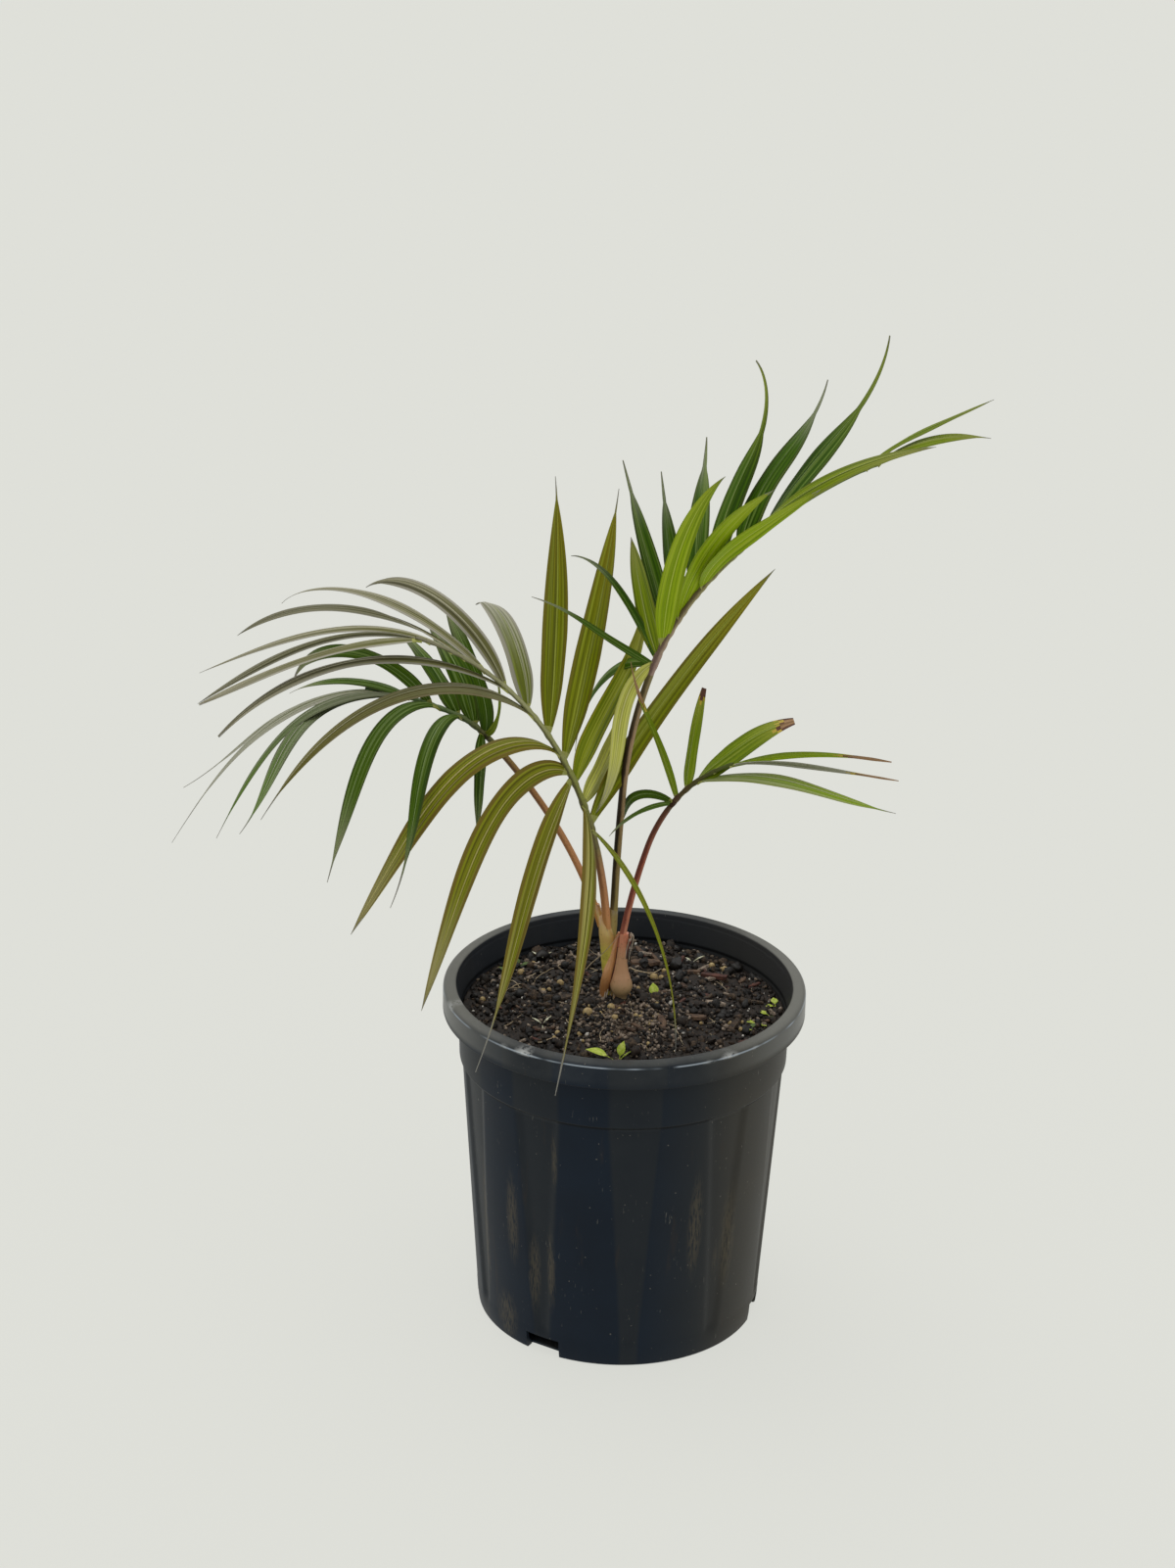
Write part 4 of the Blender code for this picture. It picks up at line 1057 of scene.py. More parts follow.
def notch_cutter(number):
    """A box that opens a drain notch through the foot of one flute."""
    bpy.ops.mesh.primitive_cube_add(size=1)
    cutter = bpy.context.object
    cutter.scale = [size * MM for size in NOTCH_SIZE]
    heading = FLUTE_FIRST + FLUTE_PITCH * number
    cutter.location = direction(heading, 0) * BODY_FOOT_RADIUS * MM
    cutter.rotation_euler.z = math.radians(heading)
    rounding = cutter.modifiers.new("rounding", "BEVEL")
    rounding.width = NOTCH_ROUND * MM
    rounding.segments = 4
    return cutter


def cut_away(piece, cutters):
    """Cut each cutter out of a piece, then remove it."""
    for cutter in cutters:
        cut = piece.modifiers.new("cut", "BOOLEAN")
        cut.operation = "DIFFERENCE"
        cut.solver = "EXACT"
        cut.object = cutter
    bpy.context.view_layer.update()
    finished = bpy.data.meshes.new_from_object(
        piece.evaluated_get(bpy.context.evaluated_depsgraph_get()))
    piece.modifiers.clear()
    spent, piece.data = piece.data, finished
    bpy.data.meshes.remove(spent)
    for cutter in cutters:
        bpy.data.objects.remove(cutter, do_unlink=True)


def make_pot():
    """The pot: base plate, fluted wall, collar and turned-down rim, with drain notches."""
    rings = [wall_ring(radius, height) for radius, height in pot_outline()]
    shape = Shape()
    shape.add(np.concatenate(rings), ring_faces(len(rings), POT_SIDES), "moulded_polypropylene")
    pot = shape.make_piece("fluted_pot", "pot_plastic", ("pot",), sharp_above=40)
    cut_away(pot, [notch_cutter(number) for number in NOTCHED_FLUTES])


# Lumps of the mix: how high, how far across, and the seed of each kind, then how many waves
# make up each kind.
LUMPS = ((0.9, 22, 1), (0.55, 9, 2), (0.4, 4, 3))
LUMP_WAVES = 7


def lumps(x, y, size, seed):
    """Smooth random lumps over the plane, a size in millimetres across, mostly between -1
    and 1."""
    chance = np.random.default_rng(seed)
    total = np.zeros_like(x)
    for _ in range(LUMP_WAVES):
        heading, start = chance.uniform(0, 2 * math.pi, 2)
        pitch = 2 * math.pi / (size * chance.uniform(0.7, 1.4))
        total += np.sin((x * math.cos(heading) + y * math.sin(heading)) * pitch + start)
    return total / (LUMP_WAVES / 2)


def mix_height(x, y):
    """The height of the mix at places on it."""
    x, y = np.asarray(x, dtype=float), np.asarray(y, dtype=float)
    distance = np.hypot(x - MIX_CENTRE[0], y - MIX_CENTRE[1])
    part = np.clip((MIX_RADIUS - distance) / (MIX_RADIUS - MIX_SEAT_RADIUS), 0, 1)
    height = MIX_WALL_HEIGHT + (MIX_SEAT_HEIGHT - MIX_WALL_HEIGHT) * np.sin(math.pi / 2 * part)
    rough = np.clip((distance - 4) / 12, 0.15, 1)
    height += rough * sum(high * lumps(x, y, size, seed) for high, size, seed in LUMPS)
    return height


def make_mix_bed():
    """The mix itself: a lumpy top over a plain buried body."""
    turns = np.arange(MIX_SIDES) * 2 * math.pi / MIX_SIDES
    rings = [np.stack([MIX_RADIUS * np.cos(turns), MIX_RADIUS * np.sin(turns),
                       np.full(MIX_SIDES, MIX_WALL_HEIGHT - MIX_DEPTH)], axis=1)]
    for radius in np.linspace(MIX_RADIUS, 1.0, MIX_RINGS):
        x, y = radius * np.cos(turns), radius * np.sin(turns)
        rings.append(np.stack([x, y, mix_height(x, y)], axis=1))
    shape = Shape()
    shape.add(np.concatenate(rings), ring_faces(len(rings), MIX_SIDES), "damp_peat")
    shape.make_piece("mix_bed", "potting_mix", ("potting_mix",), sharp_above=180)


def unit_crumb(level):
    """Points and faces of a round crumb of radius one: 20 faces at level 1, and four times
    as many at each level more."""
    ball = bmesh.new()
    bmesh.ops.create_icosphere(ball, subdivisions=level, radius=1)
    points = np.array([point.co for point in ball.verts])
    faces = [tuple(corner.index for corner in face.verts) for face in ball.faces]
    ball.free()
    return points, faces


UNIT_CRUMBS = {level: unit_crumb(level) for level in (1, 2, 3)}


def random_turn(chance):
    """A random rotation as a matrix."""
    turn, _ = np.linalg.qr(chance.normal(size=(3, 3)))
    return turn * np.sign(np.linalg.det(turn))


def scatter_place(chance, most=MIX_RADIUS - 3, least=9.0):
    """A random place on the mix, clear of the stem and of the wall."""
    while True:
        x, y = chance.uniform(-most, most, 2)
        if np.hypot(x, y) < most and np.hypot(x - MIX_CENTRE[0], y - MIX_CENTRE[1]) > least:
            return x, y


def add_crumb(shape, chance, place, size, stretch_by, level, finish, sink=0.25, jitter=0.22):
    """Add one crumb at a place on the mix: a jittered ball of three radii."""
    points, faces = UNIT_CRUMBS[level]
    radii = size / 2 * np.array(stretch_by)
    body = points * radii * chance.uniform(1 - jitter, 1 + jitter, (len(points), 1))
    body = body @ random_turn(chance)
    foot = float(mix_height(*place)) + size * (0.5 - sink) * min(stretch_by)
    shape.add(body + (*place, foot), faces, finish)


# How far the large clods stay from the middle of the grit, then the finishes that the grit
# and the clods take. The large clods leave out the last.
GRIT_CLEARANCE = 17
GRITS = ("grey_crumb", "grey_crumb", "brown_crumb", "coated_prill", "black_crumb")
CRUMBS = ("black_crumb",) * 3 + ("damp_peat",) * 2 + ("brown_crumb", "grey_crumb")


def make_crumbs():
    """Loose crumbs of the mix: small clods all over, some bigger ones, and pale grit on the
    mound in front of the stem."""
    settings = bpy.context.scene.palm_mix
    chance = np.random.default_rng(21)
    shape = Shape()
    for _ in range(settings.small_crumbs):
        size = 1.0 + 2.6 * chance.uniform() ** 1.6
        add_crumb(shape, chance, scatter_place(chance, MIX_RADIUS - 1.5, 5.0), size,
                  chance.uniform(0.6, 1.2, 3), 1, CRUMBS[chance.integers(len(CRUMBS))])
    for _ in range(settings.large_crumbs):
        size = 2.6 + 4.4 * chance.uniform() ** 1.3
        place = scatter_place(chance, MIX_RADIUS - 4)
        if math.dist(place, GRIT_CENTRE) > GRIT_CLEARANCE:
            add_crumb(shape, chance, place, size, chance.uniform(0.5, 1.2, 3), 2,
                      CRUMBS[chance.integers(len(CRUMBS) - 1)], sink=0.32, jitter=0.3)
    for _ in range(settings.grit):
        x, y = chance.normal(GRIT_CENTRE, GRIT_SPREAD)
        if math.hypot(x, y) < MIX_RADIUS - 4:
            picked = min(chance.integers(12), 4) if chance.uniform() < 0.3 else chance.integers(3)
            add_crumb(shape, chance, (x, y), 0.7 + 1.6 * chance.uniform() ** 2,
                      chance.uniform(0.6, 1.3, 3), 1, GRITS[picked], sink=0.05)
    shape.make_piece("mix_crumbs", "potting_mix", sharp_above=75)


# How many more of each loose thing lie at random places on the mix or at the stem, and how
# many points a root fibre has.
MORE_PRILLS = 22
MORE_SPECKS = 150
MORE_CHIPS = 120
ROOT_FIBRES = 46
ROOT_FIBRE_POINTS = 5
FOOT_FIBRES = 26

# The prills that the front view picks out: (x, y, size).
PRILLS = ((-19.7, -20.3, 5.8), (-7.0, -15.8, 4.4), (-4.9, -27.1, 3.8), (-58.1, 33.3, 3.8),
          (-35.7, 14.7, 4.0), (16.3, 25.8, 4.6), (56.2, 45.7, 3.8), (-78.3, 5.3, 3.4),
          (20.5, 30.5, 3.2), (22.0, 38.0, 3.0), (-2.5, -17.0, 2.6), (49.0, 52.0, 4.0))


def make_prills():
    """Coated fertiliser prills: smooth tan beads, thickest in front of the stem."""
    chance = np.random.default_rng(31)
    shape = Shape()
    for x, y, size in PRILLS:
        add_crumb(shape, chance, (x, y), size, (1, 1, 0.95), 3, "coated_prill", 0.15, 0.02)
    for _ in range(MORE_PRILLS):
        place = scatter_place(chance)
        add_crumb(shape, chance, place, chance.uniform(2.0, 3.2), (1, 1, 0.95), 3,
                  "coated_prill", 0.3, 0.02)
    shape.make_piece("fertiliser_prills", "potting_mix")


# The larger perlite grains: (x, y, size).
PERLITE = ((-19.6, -42.8, 2.6), (0.8, -45.4, 2.0), (25.6, -6.2, 3.2), (31.8, -21.1, 2.4),
           (-8.5, -13.0, 1.8))


def make_specks():
    """White perlite: a few grains and many specks."""
    chance = np.random.default_rng(41)
    shape = Shape()
    for x, y, size in PERLITE:
        add_crumb(shape, chance, (x, y), size, (1, 0.7, 0.9), 2, "perlite", 0.1)
    for _ in range(MORE_SPECKS):
        add_crumb(shape, chance, scatter_place(chance), chance.uniform(0.7, 1.7),
                  chance.uniform(0.7, 1.2, 3), 1, "perlite", 0.1)
    shape.make_piece("perlite_specks", "potting_mix", sharp_above=30)


# The large chips and clods: (x, y, length, heading, finish).
CHIPS = ((11.5, 42.9, 17, 20, "pine_bark"), (9.0, 63.1, 12, 115, "pine_bark"),
         (50.1, 33.0, 15, 160, "red_bark"), (16.1, 58.0, 9, 130, "pine_bark"),
         (30.3, 49.3, 12, 60, "red_bark"), (37.3, 39.0, 10, 10, "pine_bark"),
         (49.7, 0.2, 13, 170, "grey_crumb"), (39.2, -19.6, 13, 150, "pine_bark"),
         (21.0, -28.2, 12, 95, "pine_bark"), (-33.0, -2.0, 11, 30, "brown_crumb"),
         (-52.0, 8.0, 12, 140, "brown_crumb"), (60.0, -24.0, 11, 60, "brown_crumb"))


def add_chip(shape, chance, place, length, heading, finish):
    """Add a bark chip: a flat splinter with broken ends, tipped a little."""
    width, thick = length * chance.uniform(0.28, 0.5), length * chance.uniform(0.08, 0.16)
    stations = np.linspace(-0.5, 0.5, 6)
    ways = direction(heading, chance.uniform(-14, 18))
    aside = unit(np.cross((0, 0, 1), ways))
    up = np.cross(ways, aside)
    rings = []
    for station in stations:
        half = width / 2 * (1 - 1.6 * station ** 2) * chance.uniform(0.75, 1.1)
        middle = ways * station * length + aside * chance.uniform(-0.06, 0.06) * width
        corners = ((-half, -thick / 2), (half, -thick / 2),
                   (half * 0.8, thick / 2), (-half * 0.8, thick / 2))
        rings.append([middle + aside * (x * chance.uniform(0.85, 1.1)) + up * z
                      for x, z in corners])
    foot = float(mix_height(*place)) + thick * 0.6 + 0.5
    points = np.concatenate(rings) + (*place, foot)
    shape.add(points, ring_faces(len(stations), 4), finish)


def make_chips():
    """Bark chips and clods: a few large ones round the stem and many small ones."""
    chance = np.random.default_rng(51)
    shape = Shape()
    for x, y, length, heading, finish in CHIPS:
        add_chip(shape, chance, (x, y), length, heading, finish)
    for _ in range(MORE_CHIPS):
        finish = ("pine_bark", "grey_crumb", "brown_crumb", "red_bark")[chance.integers(4)]
        add_chip(shape, chance, scatter_place(chance, MIX_RADIUS - 7), chance.uniform(3, 8),
                 chance.uniform(0, 360), finish)
    shape.make_piece("bark_chips", "potting_mix", sharp_above=25)


def add_fibre(shape, points, radius, finish, sides=6):
    """Add a thin round fibre through a few points, drawn as one smooth curve."""
    points = np.array(points, dtype=float)
    marks = np.arange(len(points))
    steps = np.linspace(0, len(points) - 1, (len(points) - 1) * 6 + 1)
    weights = []
    for step in steps:
        near = np.exp(-((marks - step) / 0.62) ** 2)
        weights.append(near / near.sum())
    line = np.array(weights) @ points
    line[0], line[-1] = points[0], points[-1]
    radii = radius * (1 - 0.6 * np.linspace(0, 1, len(line)) ** 2)
    body, faces, places = tube(line, radii, sides)
    shape.add(body, faces, finish, places)


def make_fibres():
    """Pale rootlets and husk fibres lying on the mix."""
    chance = np.random.default_rng(61)
    shape = Shape()
    for _ in range(ROOT_FIBRES):
        x, y = scatter_place(chance, MIX_RADIUS - 14)
        heading = chance.uniform(0, 360)
        points = []
        for _ in range(ROOT_FIBRE_POINTS):
            heading += chance.uniform(-35, 35)
            x += 3 * math.cos(math.radians(heading))
            y += 3 * math.sin(math.radians(heading))
            points.append((x, y, float(mix_height(x, y)) + chance.uniform(0.3, 1.4)))
        add_fibre(shape, points, chance.uniform(0.15, 0.32), "root_fibre")
    shape.make_piece("root_fibres", "potting_mix")


# How far a seedling's leaf bends down towards its tip, in degrees, and half its thickness.
SEEDLING_DROOP = 30
SEEDLING_SKIN = 0.22


def add_small_leaf(shape, foot, length, width, heading, rise, finish):
    """Add a small seedling leaf: an oval blade on its own short stalk."""
    stations, sides = 12, 8
    turns = np.arange(sides) * 2 * math.pi / sides
    rings = []
    point = np.array(foot, dtype=float)
    for station in range(stations + 1):
        part = station / stations
        way = direction(heading, rise - SEEDLING_DROOP * part)
        if station:
            point = point + way * length / stations
        aside = unit(np.cross(way, (0, 0, 1)))
        up = np.cross(aside, way)
        blade = max(0.0, (part - 0.25) / 0.75)
        half = max(0.22, width / 2 * math.sin(math.pi * blade ** 0.8)) if blade < 1 else 0.15
        height = SEEDLING_SKIN * np.sin(turns) + 0.18 * half * np.cos(turns) ** 2
        rings.append(point + np.outer(half * np.cos(turns), aside) + np.outer(height, up))
    shape.add(np.concatenate(rings), ring_faces(len(rings), sides), finish)


# Seedlings: x, y, then each leaf's length, width, heading, rise and finish.
SEEDLINGS = (
    (-5.0, -65.0, ((16, 7.4, 172, 34, "seedling_leaf"),)),
    (-1.8, -66.5, ((11, 5.0, 62, 80, "seedling_leaf"), (8, 1.2, 20, 52, "seedling_leaf"))),
    (16.6, -0.8, ((9, 5.4, 100, 72, "seedling_leaf"), (6, 4.0, 290, 30, "etiolated_sprout"),
                  (5, 3.2, 200, 40, "seedling_leaf"))),
    (84.0, 9.0, ((7, 4.0, 100, 35, "seedling_leaf"), (6, 3.4, 200, 25, "seedling_leaf"))),
    (80.5, -2.0, ((7, 3.8, 160, 30, "seedling_leaf"), (6, 3.2, 280, 25, "moss_leaf"))),
    (73.5, -13.5, ((7, 4.2, 200, 35, "seedling_leaf"), (6, 3.4, 330, 20, "seedling_leaf"))),
    (70.5, -21.5, ((6, 3.4, 240, 30, "seedling_leaf"), (5, 3.0, 80, 30, "moss_leaf"))),
    (-60.2, 43.2, ((8, 3.6, 190, 35, "moss_leaf"), (8, 3.2, 20, 30, "moss_leaf"),
                   (6, 3.0, 100, 60, "moss_leaf"))),
    (-66.0, 38.0, ((6, 3.0, 150, 35, "moss_leaf"), (6, 2.6, 300, 25, "moss_leaf"))),
    (-47.3, 54.6, ((7, 1.6, 30, 40, "etiolated_sprout"), (7, 1.6, 150, 40, "etiolated_sprout"),
                   (6, 1.2, 280, 50, "etiolated_sprout"))),
    (-44.2, -28.0, ((7, 1.6, 40, 45, "etiolated_sprout"), (7, 1.6, 160, 42, "etiolated_sprout"),
                    (9, 1.0, 275, 8, "etiolated_sprout"))),
    (38.1, 54.0, ((8, 1.5, 10, 45, "etiolated_sprout"), (5, 1.8, 170, 50, "etiolated_sprout"))),
)


def make_seedlings():
    """Weed seedlings that have come up in the mix: green leaves and pale sprouts."""
    shape = Shape()
    for x, y, leaves in SEEDLINGS:
        foot = (x, y, float(mix_height(x, y)) + 0.2)
        for length, width, heading, rise, finish in leaves:
            add_small_leaf(shape, foot, length, width, heading, rise, finish)
    shape.make_piece("seedlings", "potting_mix")


# A leaf base: its middle line, its radii, how far its section is drawn out and the heading
# of that, and its finish.
Sheath = namedtuple("Sheath", "line radii oval heading finish")
SHEATHS = (
    Sheath(((-8.4, 3, 186), (-8.6, 3, 194), (-8.8, 3.2, 203), (-9.0, 3.4, 212), (-9.3, 3.5, 220),
            (-9.5, 3.6, 227), (-9.5, 3.8, 231)),
           (2.6, 2.8, 3.4, 3.8, 3.6, 3.4, 2.4), 1.14, 0, "yellow_sheath"),
    Sheath(((-9.4, 3.6, 217), (-10.7, 4, 223.6), (-12.0, 4.3, 228.5), (-13.4, 4.9, 232.5),
            (-14.9, 5.5, 236.5), (-16.4, 6.2, 241)),
           (2.8, 3.0, 2.6, 2.2, 1.95, 1.8), 1.0, 0, "arm_sheath"),
    Sheath(((-9.2, 3.0, 206), (-9.5, 2.6, 213), (-10.0, 2.2, 219), (-10.6, 1.8, 225),
            (-11.5, 1.7, 231), (-12.4, 1.9, 236)),
           (2.6, 3.7, 4.1, 4.0, 3.4, 2.3), 1.0, 0, "arm_sheath"),
    Sheath(((-8.4, 3.3, 218), (-8.0, 3.2, 225), (-7.4, 3.1, 230.5), (-7.1, 3.0, 235.5),
            (-7.0, 3.0, 240)),
           (2.8, 2.8, 2.5, 2.4, 2.25), 1.05, 0, "olive_sheath"),
    Sheath(((-11.2, 0.4, 184), (-11.3, 0, 190.6), (-11.0, 0, 194), (-9.9, 0, 199), (-8.8, 0.2, 204),
            (-7.6, 0.3, 209), (-6.6, 0.4, 214), (-5.6, 0.5, 219), (-4.5, 0.6, 223.5),
            (-3.6, 0.6, 227)),
           (1.8, 2.3, 2.7, 3.0, 2.9, 2.4, 2.0, 1.7, 1.3, 0.8), 1.0, 0, "orange_sheath"),
    Sheath(((-1.8, -1.5, 184), (-1.8, -1.5, 189.6), (-1.75, -1.5, 193), (-1.75, -1.6, 196.5),
            (-1.8, -1.8, 200), (-1.9, -2, 204.5), (-1.9, -2.3, 210.3), (-1.6, -2.8, 216.8),
            (-1.3, -3.2, 222.5), (-0.7, -3.5, 228.5)),
           (2.2, 3.6, 5.5, 6.1, 5.3, 4.0, 3.1, 2.8, 2.65, 2.4), 1.0, 0, "bulb_sheath"),
)


def smooth_line(points, count):
    """Evenly spaced points on a smooth curve through a few points."""
    points = np.array(points, dtype=float)
    padded = np.concatenate([[2 * points[0] - points[1]], points, [2 * points[-1] - points[-2]]])
    found = []
    for step in np.linspace(0, len(points) - 1 - 1e-6, count):
        first, part = int(step), step - int(step)
        before, start, end, after = padded[first:first + 4]
        found.append(0.5 * (2 * start + (end - before) * part
                            + (2 * before - 5 * start + 4 * end - after) * part ** 2
                            + (3 * start - before - 3 * end + after) * part ** 3))
    return np.array(found)


def add_sheath(shape, sheath, number):
    """Add a leaf base: an oval body along a smooth line, finely ribbed."""
    count, sides = 46, 40
    line = smooth_line(sheath.line, count)
    radii = smooth_line([(radius, 0, 0) for radius in sheath.radii], count)[:, 0]
    chance = np.random.default_rng(70 + number)
    turns = np.arange(sides) * 2 * math.pi / sides
    ribs = 1 + 0.012 * np.cos(turns * 10 + number) + chance.uniform(-0.006, 0.006, sides)
    long_way, short_way = direction(sheath.heading, 0), direction(sheath.heading + 90, 0)
    rings, places = [], []
    for part, point, radius in zip(np.linspace(0, 1, count), line, radii):
        dent = 1 + 0.02 * math.sin(part * 17 + number * 2)
        outward = np.outer(np.cos(turns) * sheath.oval, long_way)
        outward += np.outer(np.sin(turns), short_way)
        rings.append(point + outward * (radius * ribs * dent)[:, None])
        places.append(np.stack([turns / (2 * math.pi), np.full(sides, part),
                                np.full(sides, number)], axis=1))
    faces = ring_faces(count, sides)
    shape.add(np.concatenate(rings), faces, sheath.finish, np.concatenate(places))


# A wrap: part of a leaf base that clasps another, as a thin shell. Its middle line, its
# radii, its first and last headings, how ragged its top is, and its finish.
Wrap = namedtuple("Wrap", "line radii start end ragged finish")
WRAPS = (
    Wrap(((-1.7, -2.4, 213), (-1.5, -2.6, 219), (-1.1, -2.8, 223.5), (-0.8, -3.0, 228.5)),
         (2.9, 3.5, 4.3, 4.9), -50, 42, 3.0, "dead_sheath"),
)


def add_wrap(shape, wrap, number):
    """Add a clasping shell: closed and thin, with a ragged top and pale torn margins."""
    count, across, skin = 30, 26, 0.45
    chance = np.random.default_rng(80 + number)
    line = smooth_line(wrap.line, count)
    radii = smooth_line([(radius, 0, 0) for radius in wrap.radii], count)[:, 0]
    headings = np.linspace(wrap.start, wrap.end, across)
    lower = wrap.ragged * (0.5 + 0.5 * np.sin(np.linspace(0, 3 * math.pi, across) + number))
    lower += chance.uniform(0, 0.35, across) * wrap.ragged
    span = line[-1][2] - line[0][2]
    tops = 1 - lower / span
    sheets = []
    for offset in (0.0, -skin):
        rows = []
        for step in range(count):
            parts = step / (count - 1) * tops
            row = []
            for part, heading in zip(parts, headings):
                at = part * (count - 1)
                first = min(int(at), count - 2)
                middle = line[first] + (line[first + 1] - line[first]) * (at - first)
                radius = np.interp(at, np.arange(count), radii) + offset
                turn = math.radians(heading * 2 + 40 * number)
                flare = 0.6 * max(0.0, part - 0.75) * 4 * abs(math.sin(turn))
                row.append(middle + direction(heading, 0) * (radius + flare))
            rows.append(row)
        sheets.append(np.array(rows))
    outer, inner = sheets
    rings = [np.concatenate([outer[step], inner[step][::-1]]) for step in range(count)]
    sides = 2 * across
    around = np.concatenate([np.arange(across), np.arange(across)[::-1]]) / across
    places = [np.stack([around, np.full(sides, step / (count - 1)),
                        np.full(sides, 3.0 + number)], axis=1)
              for step in range(count)]
    faces = ring_faces(count, sides)
    finishes = []
    for step in range(count - 1):
        for side in range(sides):
            margin = side % across in (0, across - 2, across - 1) or step > count - 4
            finishes.append("torn_edge" if margin else wrap.finish)
    finishes += [wrap.finish, "torn_edge"]
    shape.add(np.concatenate(rings), faces, finishes, np.concatenate(places))


# Single fibres and rootlets at the stem, and one dark fibre that paints a shadow line: their
# points, radius and finish.
STEM_FIBRES = (
    (((-21.3, -1.5, 205), (-18.5, -1.8, 208.9), (-14, -2.6, 213.5), (-10.1, -3.0, 218),
      (-6.2, -3.4, 223.5), (-2.9, -4.2, 228)), 0.26, "root_fibre"),
    (((3.3, 30, 191), (6.3, 28.9, 190.2), (11.5, 26.2, 190.4), (16.2, 26.5, 190.2),
      (20.3, 31.0, 190.6)), 0.42, "root_fibre"),
    (((2.6, -2.4, 228.2), (4.4, -2.6, 226.3), (4.0, -2.6, 222.7), (3.2, -2.5, 218.6),
      (2.3, -2.4, 215), (1.9, -2.2, 210.5)), 0.4, "torn_edge"),
    # Painted shadow: a dark fibre in the seam between the orange leaf base and the bulb.
    (((-8.3, -1.0, 192), (-7.8, -1.5, 196.5), (-7.0, -1.9, 200.7), (-5.9, -2.2, 205.8),
      (-5.0, -2.5, 210.9), (-4.5, -3.0, 217.2), (-4.1, -3.3, 222.3), (-3.2, -3.7, 228)),
     0.42, "scorched_leaf"),
    (((-9.9, -2.3, 188.6), (-9.5, -2.5, 191.0), (-9.0, -2.7, 193.6)), 0.5, "torn_edge"),
    (((-10.9, -2.1, 188.2), (-10.6, -2.3, 190.2), (-10.5, -2.4, 192.0)), 0.45, "torn_edge"),
)


def make_stem():
    """The stem: leaf bases that clasp each other, torn shells, loose fibres and one dark fibre that
    paints a shadow line.
    """
    shape = Shape()
    for number, sheath in enumerate(SHEATHS):
        add_sheath(shape, sheath, number)
    for number, wrap in enumerate(WRAPS):
        add_wrap(shape, wrap, number)
    shape.make_piece("clasping_leaf_bases", "leaf_base", ("stem",))
    loose = Shape()
    for points, radius, finish in STEM_FIBRES:
        add_fibre(loose, points, radius, finish, 8)
    chance = np.random.default_rng(91)
    for _ in range(FOOT_FIBRES):
        turn = math.radians(chance.uniform(0, 360))
        reach = chance.uniform(5.5, 9.5)
        x = MIX_CENTRE[0] + reach * math.cos(turn)
        y = MIX_CENTRE[1] - 2 + reach * math.sin(turn)
        low = float(mix_height(x, y))
        inner_x = MIX_CENTRE[0] + (x - MIX_CENTRE[0]) * 0.7
        inner_y = MIX_CENTRE[1] + (y - MIX_CENTRE[1]) * 0.7
        points = ((inner_x, inner_y, low + chance.uniform(2.5, 5)),
                  ((x + inner_x) / 2, (y + inner_y) / 2, low + 2.2),
                  (x, y, low + 0.5),
                  (x + chance.uniform(-2, 2), y + chance.uniform(-2, 2), low - 0.5))
        add_fibre(loose, points, chance.uniform(0.2, 0.5),
                  ("root_fibre", "orange_sheath")[chance.integers(2)])
    loose.make_piece("stem_fibres", "leaf_base")


def make_stalk(name, limb):
    """A bare stalk with its fine ridges, from inside its leaf base to its first leaflet."""
    finish, slot, _ = LIMB_LOOKS[name]
    line = stretch(limb_path(limb), 2, stalk_length(limb) - RIB_LEAD + 1, LIMB_STEP)
    radii = np.linspace(limb.radii[0], limb.radii[1], len(line))
    shape = Shape()
    points, faces, places = tube(line, radii, LIMB_SIDES, ridges=0.02)
    shape.add(points, faces, finish, places)
    shape.make_piece(name + "_ridged_stalk", slot, (name + "_stalk",))


class PalmPotSettings(bpy.types.PropertyGroup):
    """The wear of the pot."""

    rim_scuff: FloatProperty(
        name="Rim scuff", description="How white the worn lip is",
        default=0.95, min=0, max=1, subtype="FACTOR")


class PalmMixSettings(bpy.types.PropertyGroup):
    """Counts of what lies on the potting mix."""

    small_crumbs: IntProperty(
        name="Small crumbs", description="Clods of 1 to 3.6 mm on the mix", default=3200, min=0)
    large_crumbs: IntProperty(
        name="Large crumbs", description="Clods of 2.6 to 7 mm on the mix", default=460, min=0)
    grit: IntProperty(
        name="Grit", description="Pale grains on the mound before the stem", default=2600, min=0)


class PalmLeafSettings(bpy.types.PropertyGroup):
    """The leaflets' section."""

    thickness: FloatProperty(
        name="Thickness", description="A blade's thickness in millimetres",
        default=0.4, min=0.1, max=2)
    fold: FloatProperty(
        name="Fold", description="How far each half drops from the midrib, in degrees",
        default=16, min=0, max=60)


class PalmStageSettings(bpy.types.PropertyGroup):
    """The floor and the light."""

    floor_colour: StringProperty(
        name="Floor colour", description="The sheet's sRGB hex colour", default="#61615D")
    glow_colour: StringProperty(
        name="Glow colour", description="The sRGB hex colour of the light from below",
        default="#E0E1DB")
    glow_strength: FloatProperty(
        name="Glow", description="Strength of the light from below", default=0.834, min=0)
    horizon_strength: FloatProperty(
        name="Horizon", description="Strength of the sky's light from the side", default=0.3, min=0)
    zenith_strength: FloatProperty(
        name="Zenith", description="Strength of the sky's light from above", default=1.1, min=0)
    key_strength: FloatProperty(
        name="Key light", description="Strength of the soft key light", default=0.5, min=0)


class PALM_OT_add_pot(bpy.types.Operator):
    """Add the fluted nursery pot"""

    bl_idname = "palm.add_pot"
    bl_label = "Nursery Pot"

    def execute(self, context):
        make_pot()
        return {"FINISHED"}


class PALM_OT_add_mix(bpy.types.Operator):
    """Add the potting mix and what lies in it"""

    bl_idname = "palm.add_mix"
    bl_label = "Potting Mix"

    def execute(self, context):
        make_mix_bed()
        make_crumbs()
        make_prills()
        make_specks()
        make_chips()
        make_fibres()
        return {"FINISHED"}


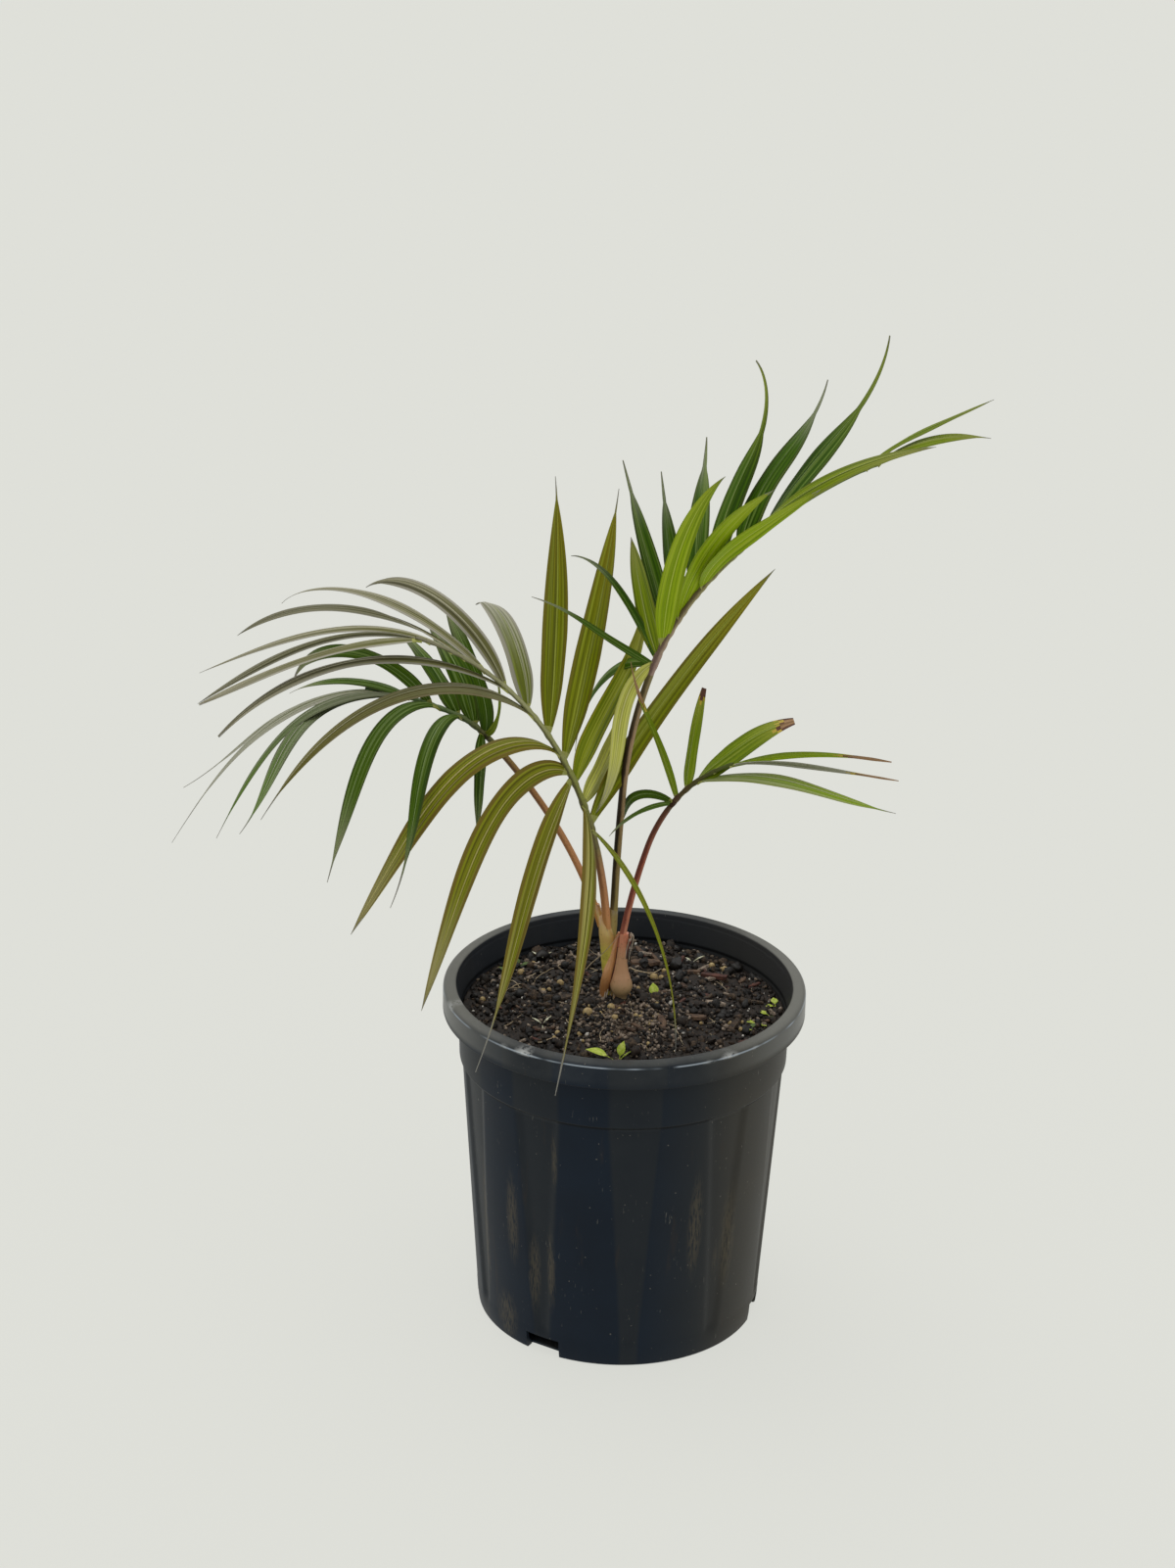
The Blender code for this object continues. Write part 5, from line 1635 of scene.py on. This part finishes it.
class PALM_OT_add_seedlings(bpy.types.Operator):
    """Add the seedlings in the mix"""

    bl_idname = "palm.add_seedlings"
    bl_label = "Seedlings"

    def execute(self, context):
        make_seedlings()
        return {"FINISHED"}


class PALM_OT_add_stem(bpy.types.Operator):
    """Add the clasping leaf bases"""

    bl_idname = "palm.add_stem"
    bl_label = "Leaf Bases"

    def execute(self, context):
        make_stem()
        return {"FINISHED"}


class PALM_OT_add_stalks(bpy.types.Operator):
    """Add the bare stalks"""

    bl_idname = "palm.add_stalks"
    bl_label = "Stalks"

    def execute(self, context):
        for name, limb in LIMBS.items():
            make_stalk(name, limb)
        return {"FINISHED"}


class PALM_OT_add_fronds(bpy.types.Operator):
    """Add the ribs and their leaflets"""

    bl_idname = "palm.add_fronds"
    bl_label = "Fronds"

    def execute(self, context):
        number = FIRST_LEAFLET_NUMBER
        for name, limb in LIMBS.items():
            slot = LIMB_LOOKS[name][2]
            rib, blades = make_frond(name, limb, LEAFLETS[name], number)
            rib.make_piece(name + "_rib", slot, (name + "_frond",))
            blades.make_piece(name + "_leaflets", slot, (name + "_frond",))
            number += len(LEAFLETS[name])
        return {"FINISHED"}


# The camera stands where the photograph's does: metres, and degrees down, left and rolled.
CAMERA_PLACE = (0, -1.842, 1.098)
CAMERA_DOWN = 23.03
CAMERA_LEFT = 0.70
CAMERA_ROLL = 1.11
CAMERA_FOCAL_PIXELS = 3797
PHOTO_HEIGHT = 1601
SENSOR_HEIGHT = 36
KEY_TURN = (-20, -24, 0)
KEY_ANGLE = 40
FLOOR_SIZE = 24
SKY_COLOUR = (1.0, 1.0, 0.985, 1)


def make_camera():
    """The camera at the photograph's angle."""
    down, left, roll = (math.radians(turn) for turn in (CAMERA_DOWN, CAMERA_LEFT, CAMERA_ROLL))
    ahead = np.array([-math.sin(left) * math.cos(down), math.cos(left) * math.cos(down),
                      -math.sin(down)])
    level = np.array([math.cos(left), math.sin(left), 0])
    upright = np.cross(level, ahead)
    right = math.cos(roll) * level + math.sin(roll) * upright
    up = math.cos(roll) * upright - math.sin(roll) * level
    data = bpy.data.cameras.new("photo_camera")
    data.sensor_width = SENSOR_HEIGHT
    data.lens = SENSOR_HEIGHT * CAMERA_FOCAL_PIXELS / PHOTO_HEIGHT
    camera = bpy.data.objects.new("photo_camera", data)
    turn = Matrix((right, up, -ahead)).transposed().to_4x4()
    camera.matrix_world = Matrix.Translation(CAMERA_PLACE) @ turn
    bpy.context.scene.collection.objects.link(camera)
    bpy.context.scene.camera = camera


def make_floor():
    """A plain pale floor that fills the view."""
    bpy.ops.mesh.primitive_plane_add(size=FLOOR_SIZE)
    floor = bpy.context.object
    floor.name = "studio_floor"
    floor.data.materials.append(material_named("opal_acrylic"))


def make_lights(settings):
    """A sky that brightens towards the zenith and a soft key light from above and behind."""
    world = bpy.data.worlds.new("studio_sky")
    bpy.context.scene.world = world
    world.use_nodes = True
    tree = world.node_tree
    sky = tree.nodes["Background"]
    sky.inputs["Color"].default_value = SKY_COLOUR
    height = parts_of(tree, add_node(tree, "TexCoord").outputs["Generated"])["Z"]
    strength = smooth_step(tree, height, 0.2, 0.9,
                           settings.horizon_strength, settings.zenith_strength)
    tree.links.new(strength, sky.inputs["Strength"])
    light = bpy.data.lights.new("key_softbox", "SUN")
    light.energy = settings.key_strength
    light.angle = math.radians(KEY_ANGLE)
    lamp = bpy.data.objects.new("key_softbox", light)
    lamp.rotation_euler = [math.radians(angle) for angle in KEY_TURN]
    bpy.context.scene.collection.objects.link(lamp)


class PALM_OT_add_stage(bpy.types.Operator):
    """Add the floor, the lights and the camera"""

    bl_idname = "palm.add_stage"
    bl_label = "Stage"

    def execute(self, context):
        make_floor()
        make_lights(context.scene.palm_stage)
        make_camera()
        context.scene.view_settings.view_transform = "Standard"
        return {"FINISHED"}


OPERATORS = (PALM_OT_add_pot, PALM_OT_add_mix, PALM_OT_add_seedlings, PALM_OT_add_stem,
             PALM_OT_add_stalks, PALM_OT_add_fronds, PALM_OT_add_stage)
SETTINGS = {"palm_pot": PalmPotSettings, "palm_mix": PalmMixSettings,
            "palm_leaves": PalmLeafSettings, "palm_stage": PalmStageSettings}


class VIEW3D_PT_palm(bpy.types.Panel):
    """Lists the palm's pieces in the sidebar"""

    bl_label = "Potted Palm"
    bl_idname = "VIEW3D_PT_palm"
    bl_space_type = "VIEW_3D"
    bl_region_type = "UI"
    bl_category = "Palm"

    def draw(self, context):
        for operator in OPERATORS:
            self.layout.operator(operator.bl_idname)
        for name, group in SETTINGS.items():
            for key in group.__annotations__:
                self.layout.prop(getattr(context.scene, name), key)


def register():
    """Register the classes and give every scene the settings."""
    for item in (*SETTINGS.values(), *OPERATORS, VIEW3D_PT_palm):
        bpy.utils.register_class(item)
    for name, group in SETTINGS.items():
        setattr(bpy.types.Scene, name, PointerProperty(type=group))


def unregister():
    """Take the settings and the classes away again."""
    for name in SETTINGS:
        delattr(bpy.types.Scene, name)
    for item in (VIEW3D_PT_palm, *OPERATORS, *SETTINGS.values()):
        bpy.utils.unregister_class(item)


def main():
    """Register the add-on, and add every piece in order."""
    register()
    bpy.ops.palm.add_pot()
    bpy.ops.palm.add_mix()
    bpy.ops.palm.add_seedlings()
    bpy.ops.palm.add_stem()
    bpy.ops.palm.add_stalks()
    bpy.ops.palm.add_fronds()
    bpy.ops.palm.add_stage()
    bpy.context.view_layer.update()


if __name__ == "__main__":
    main()
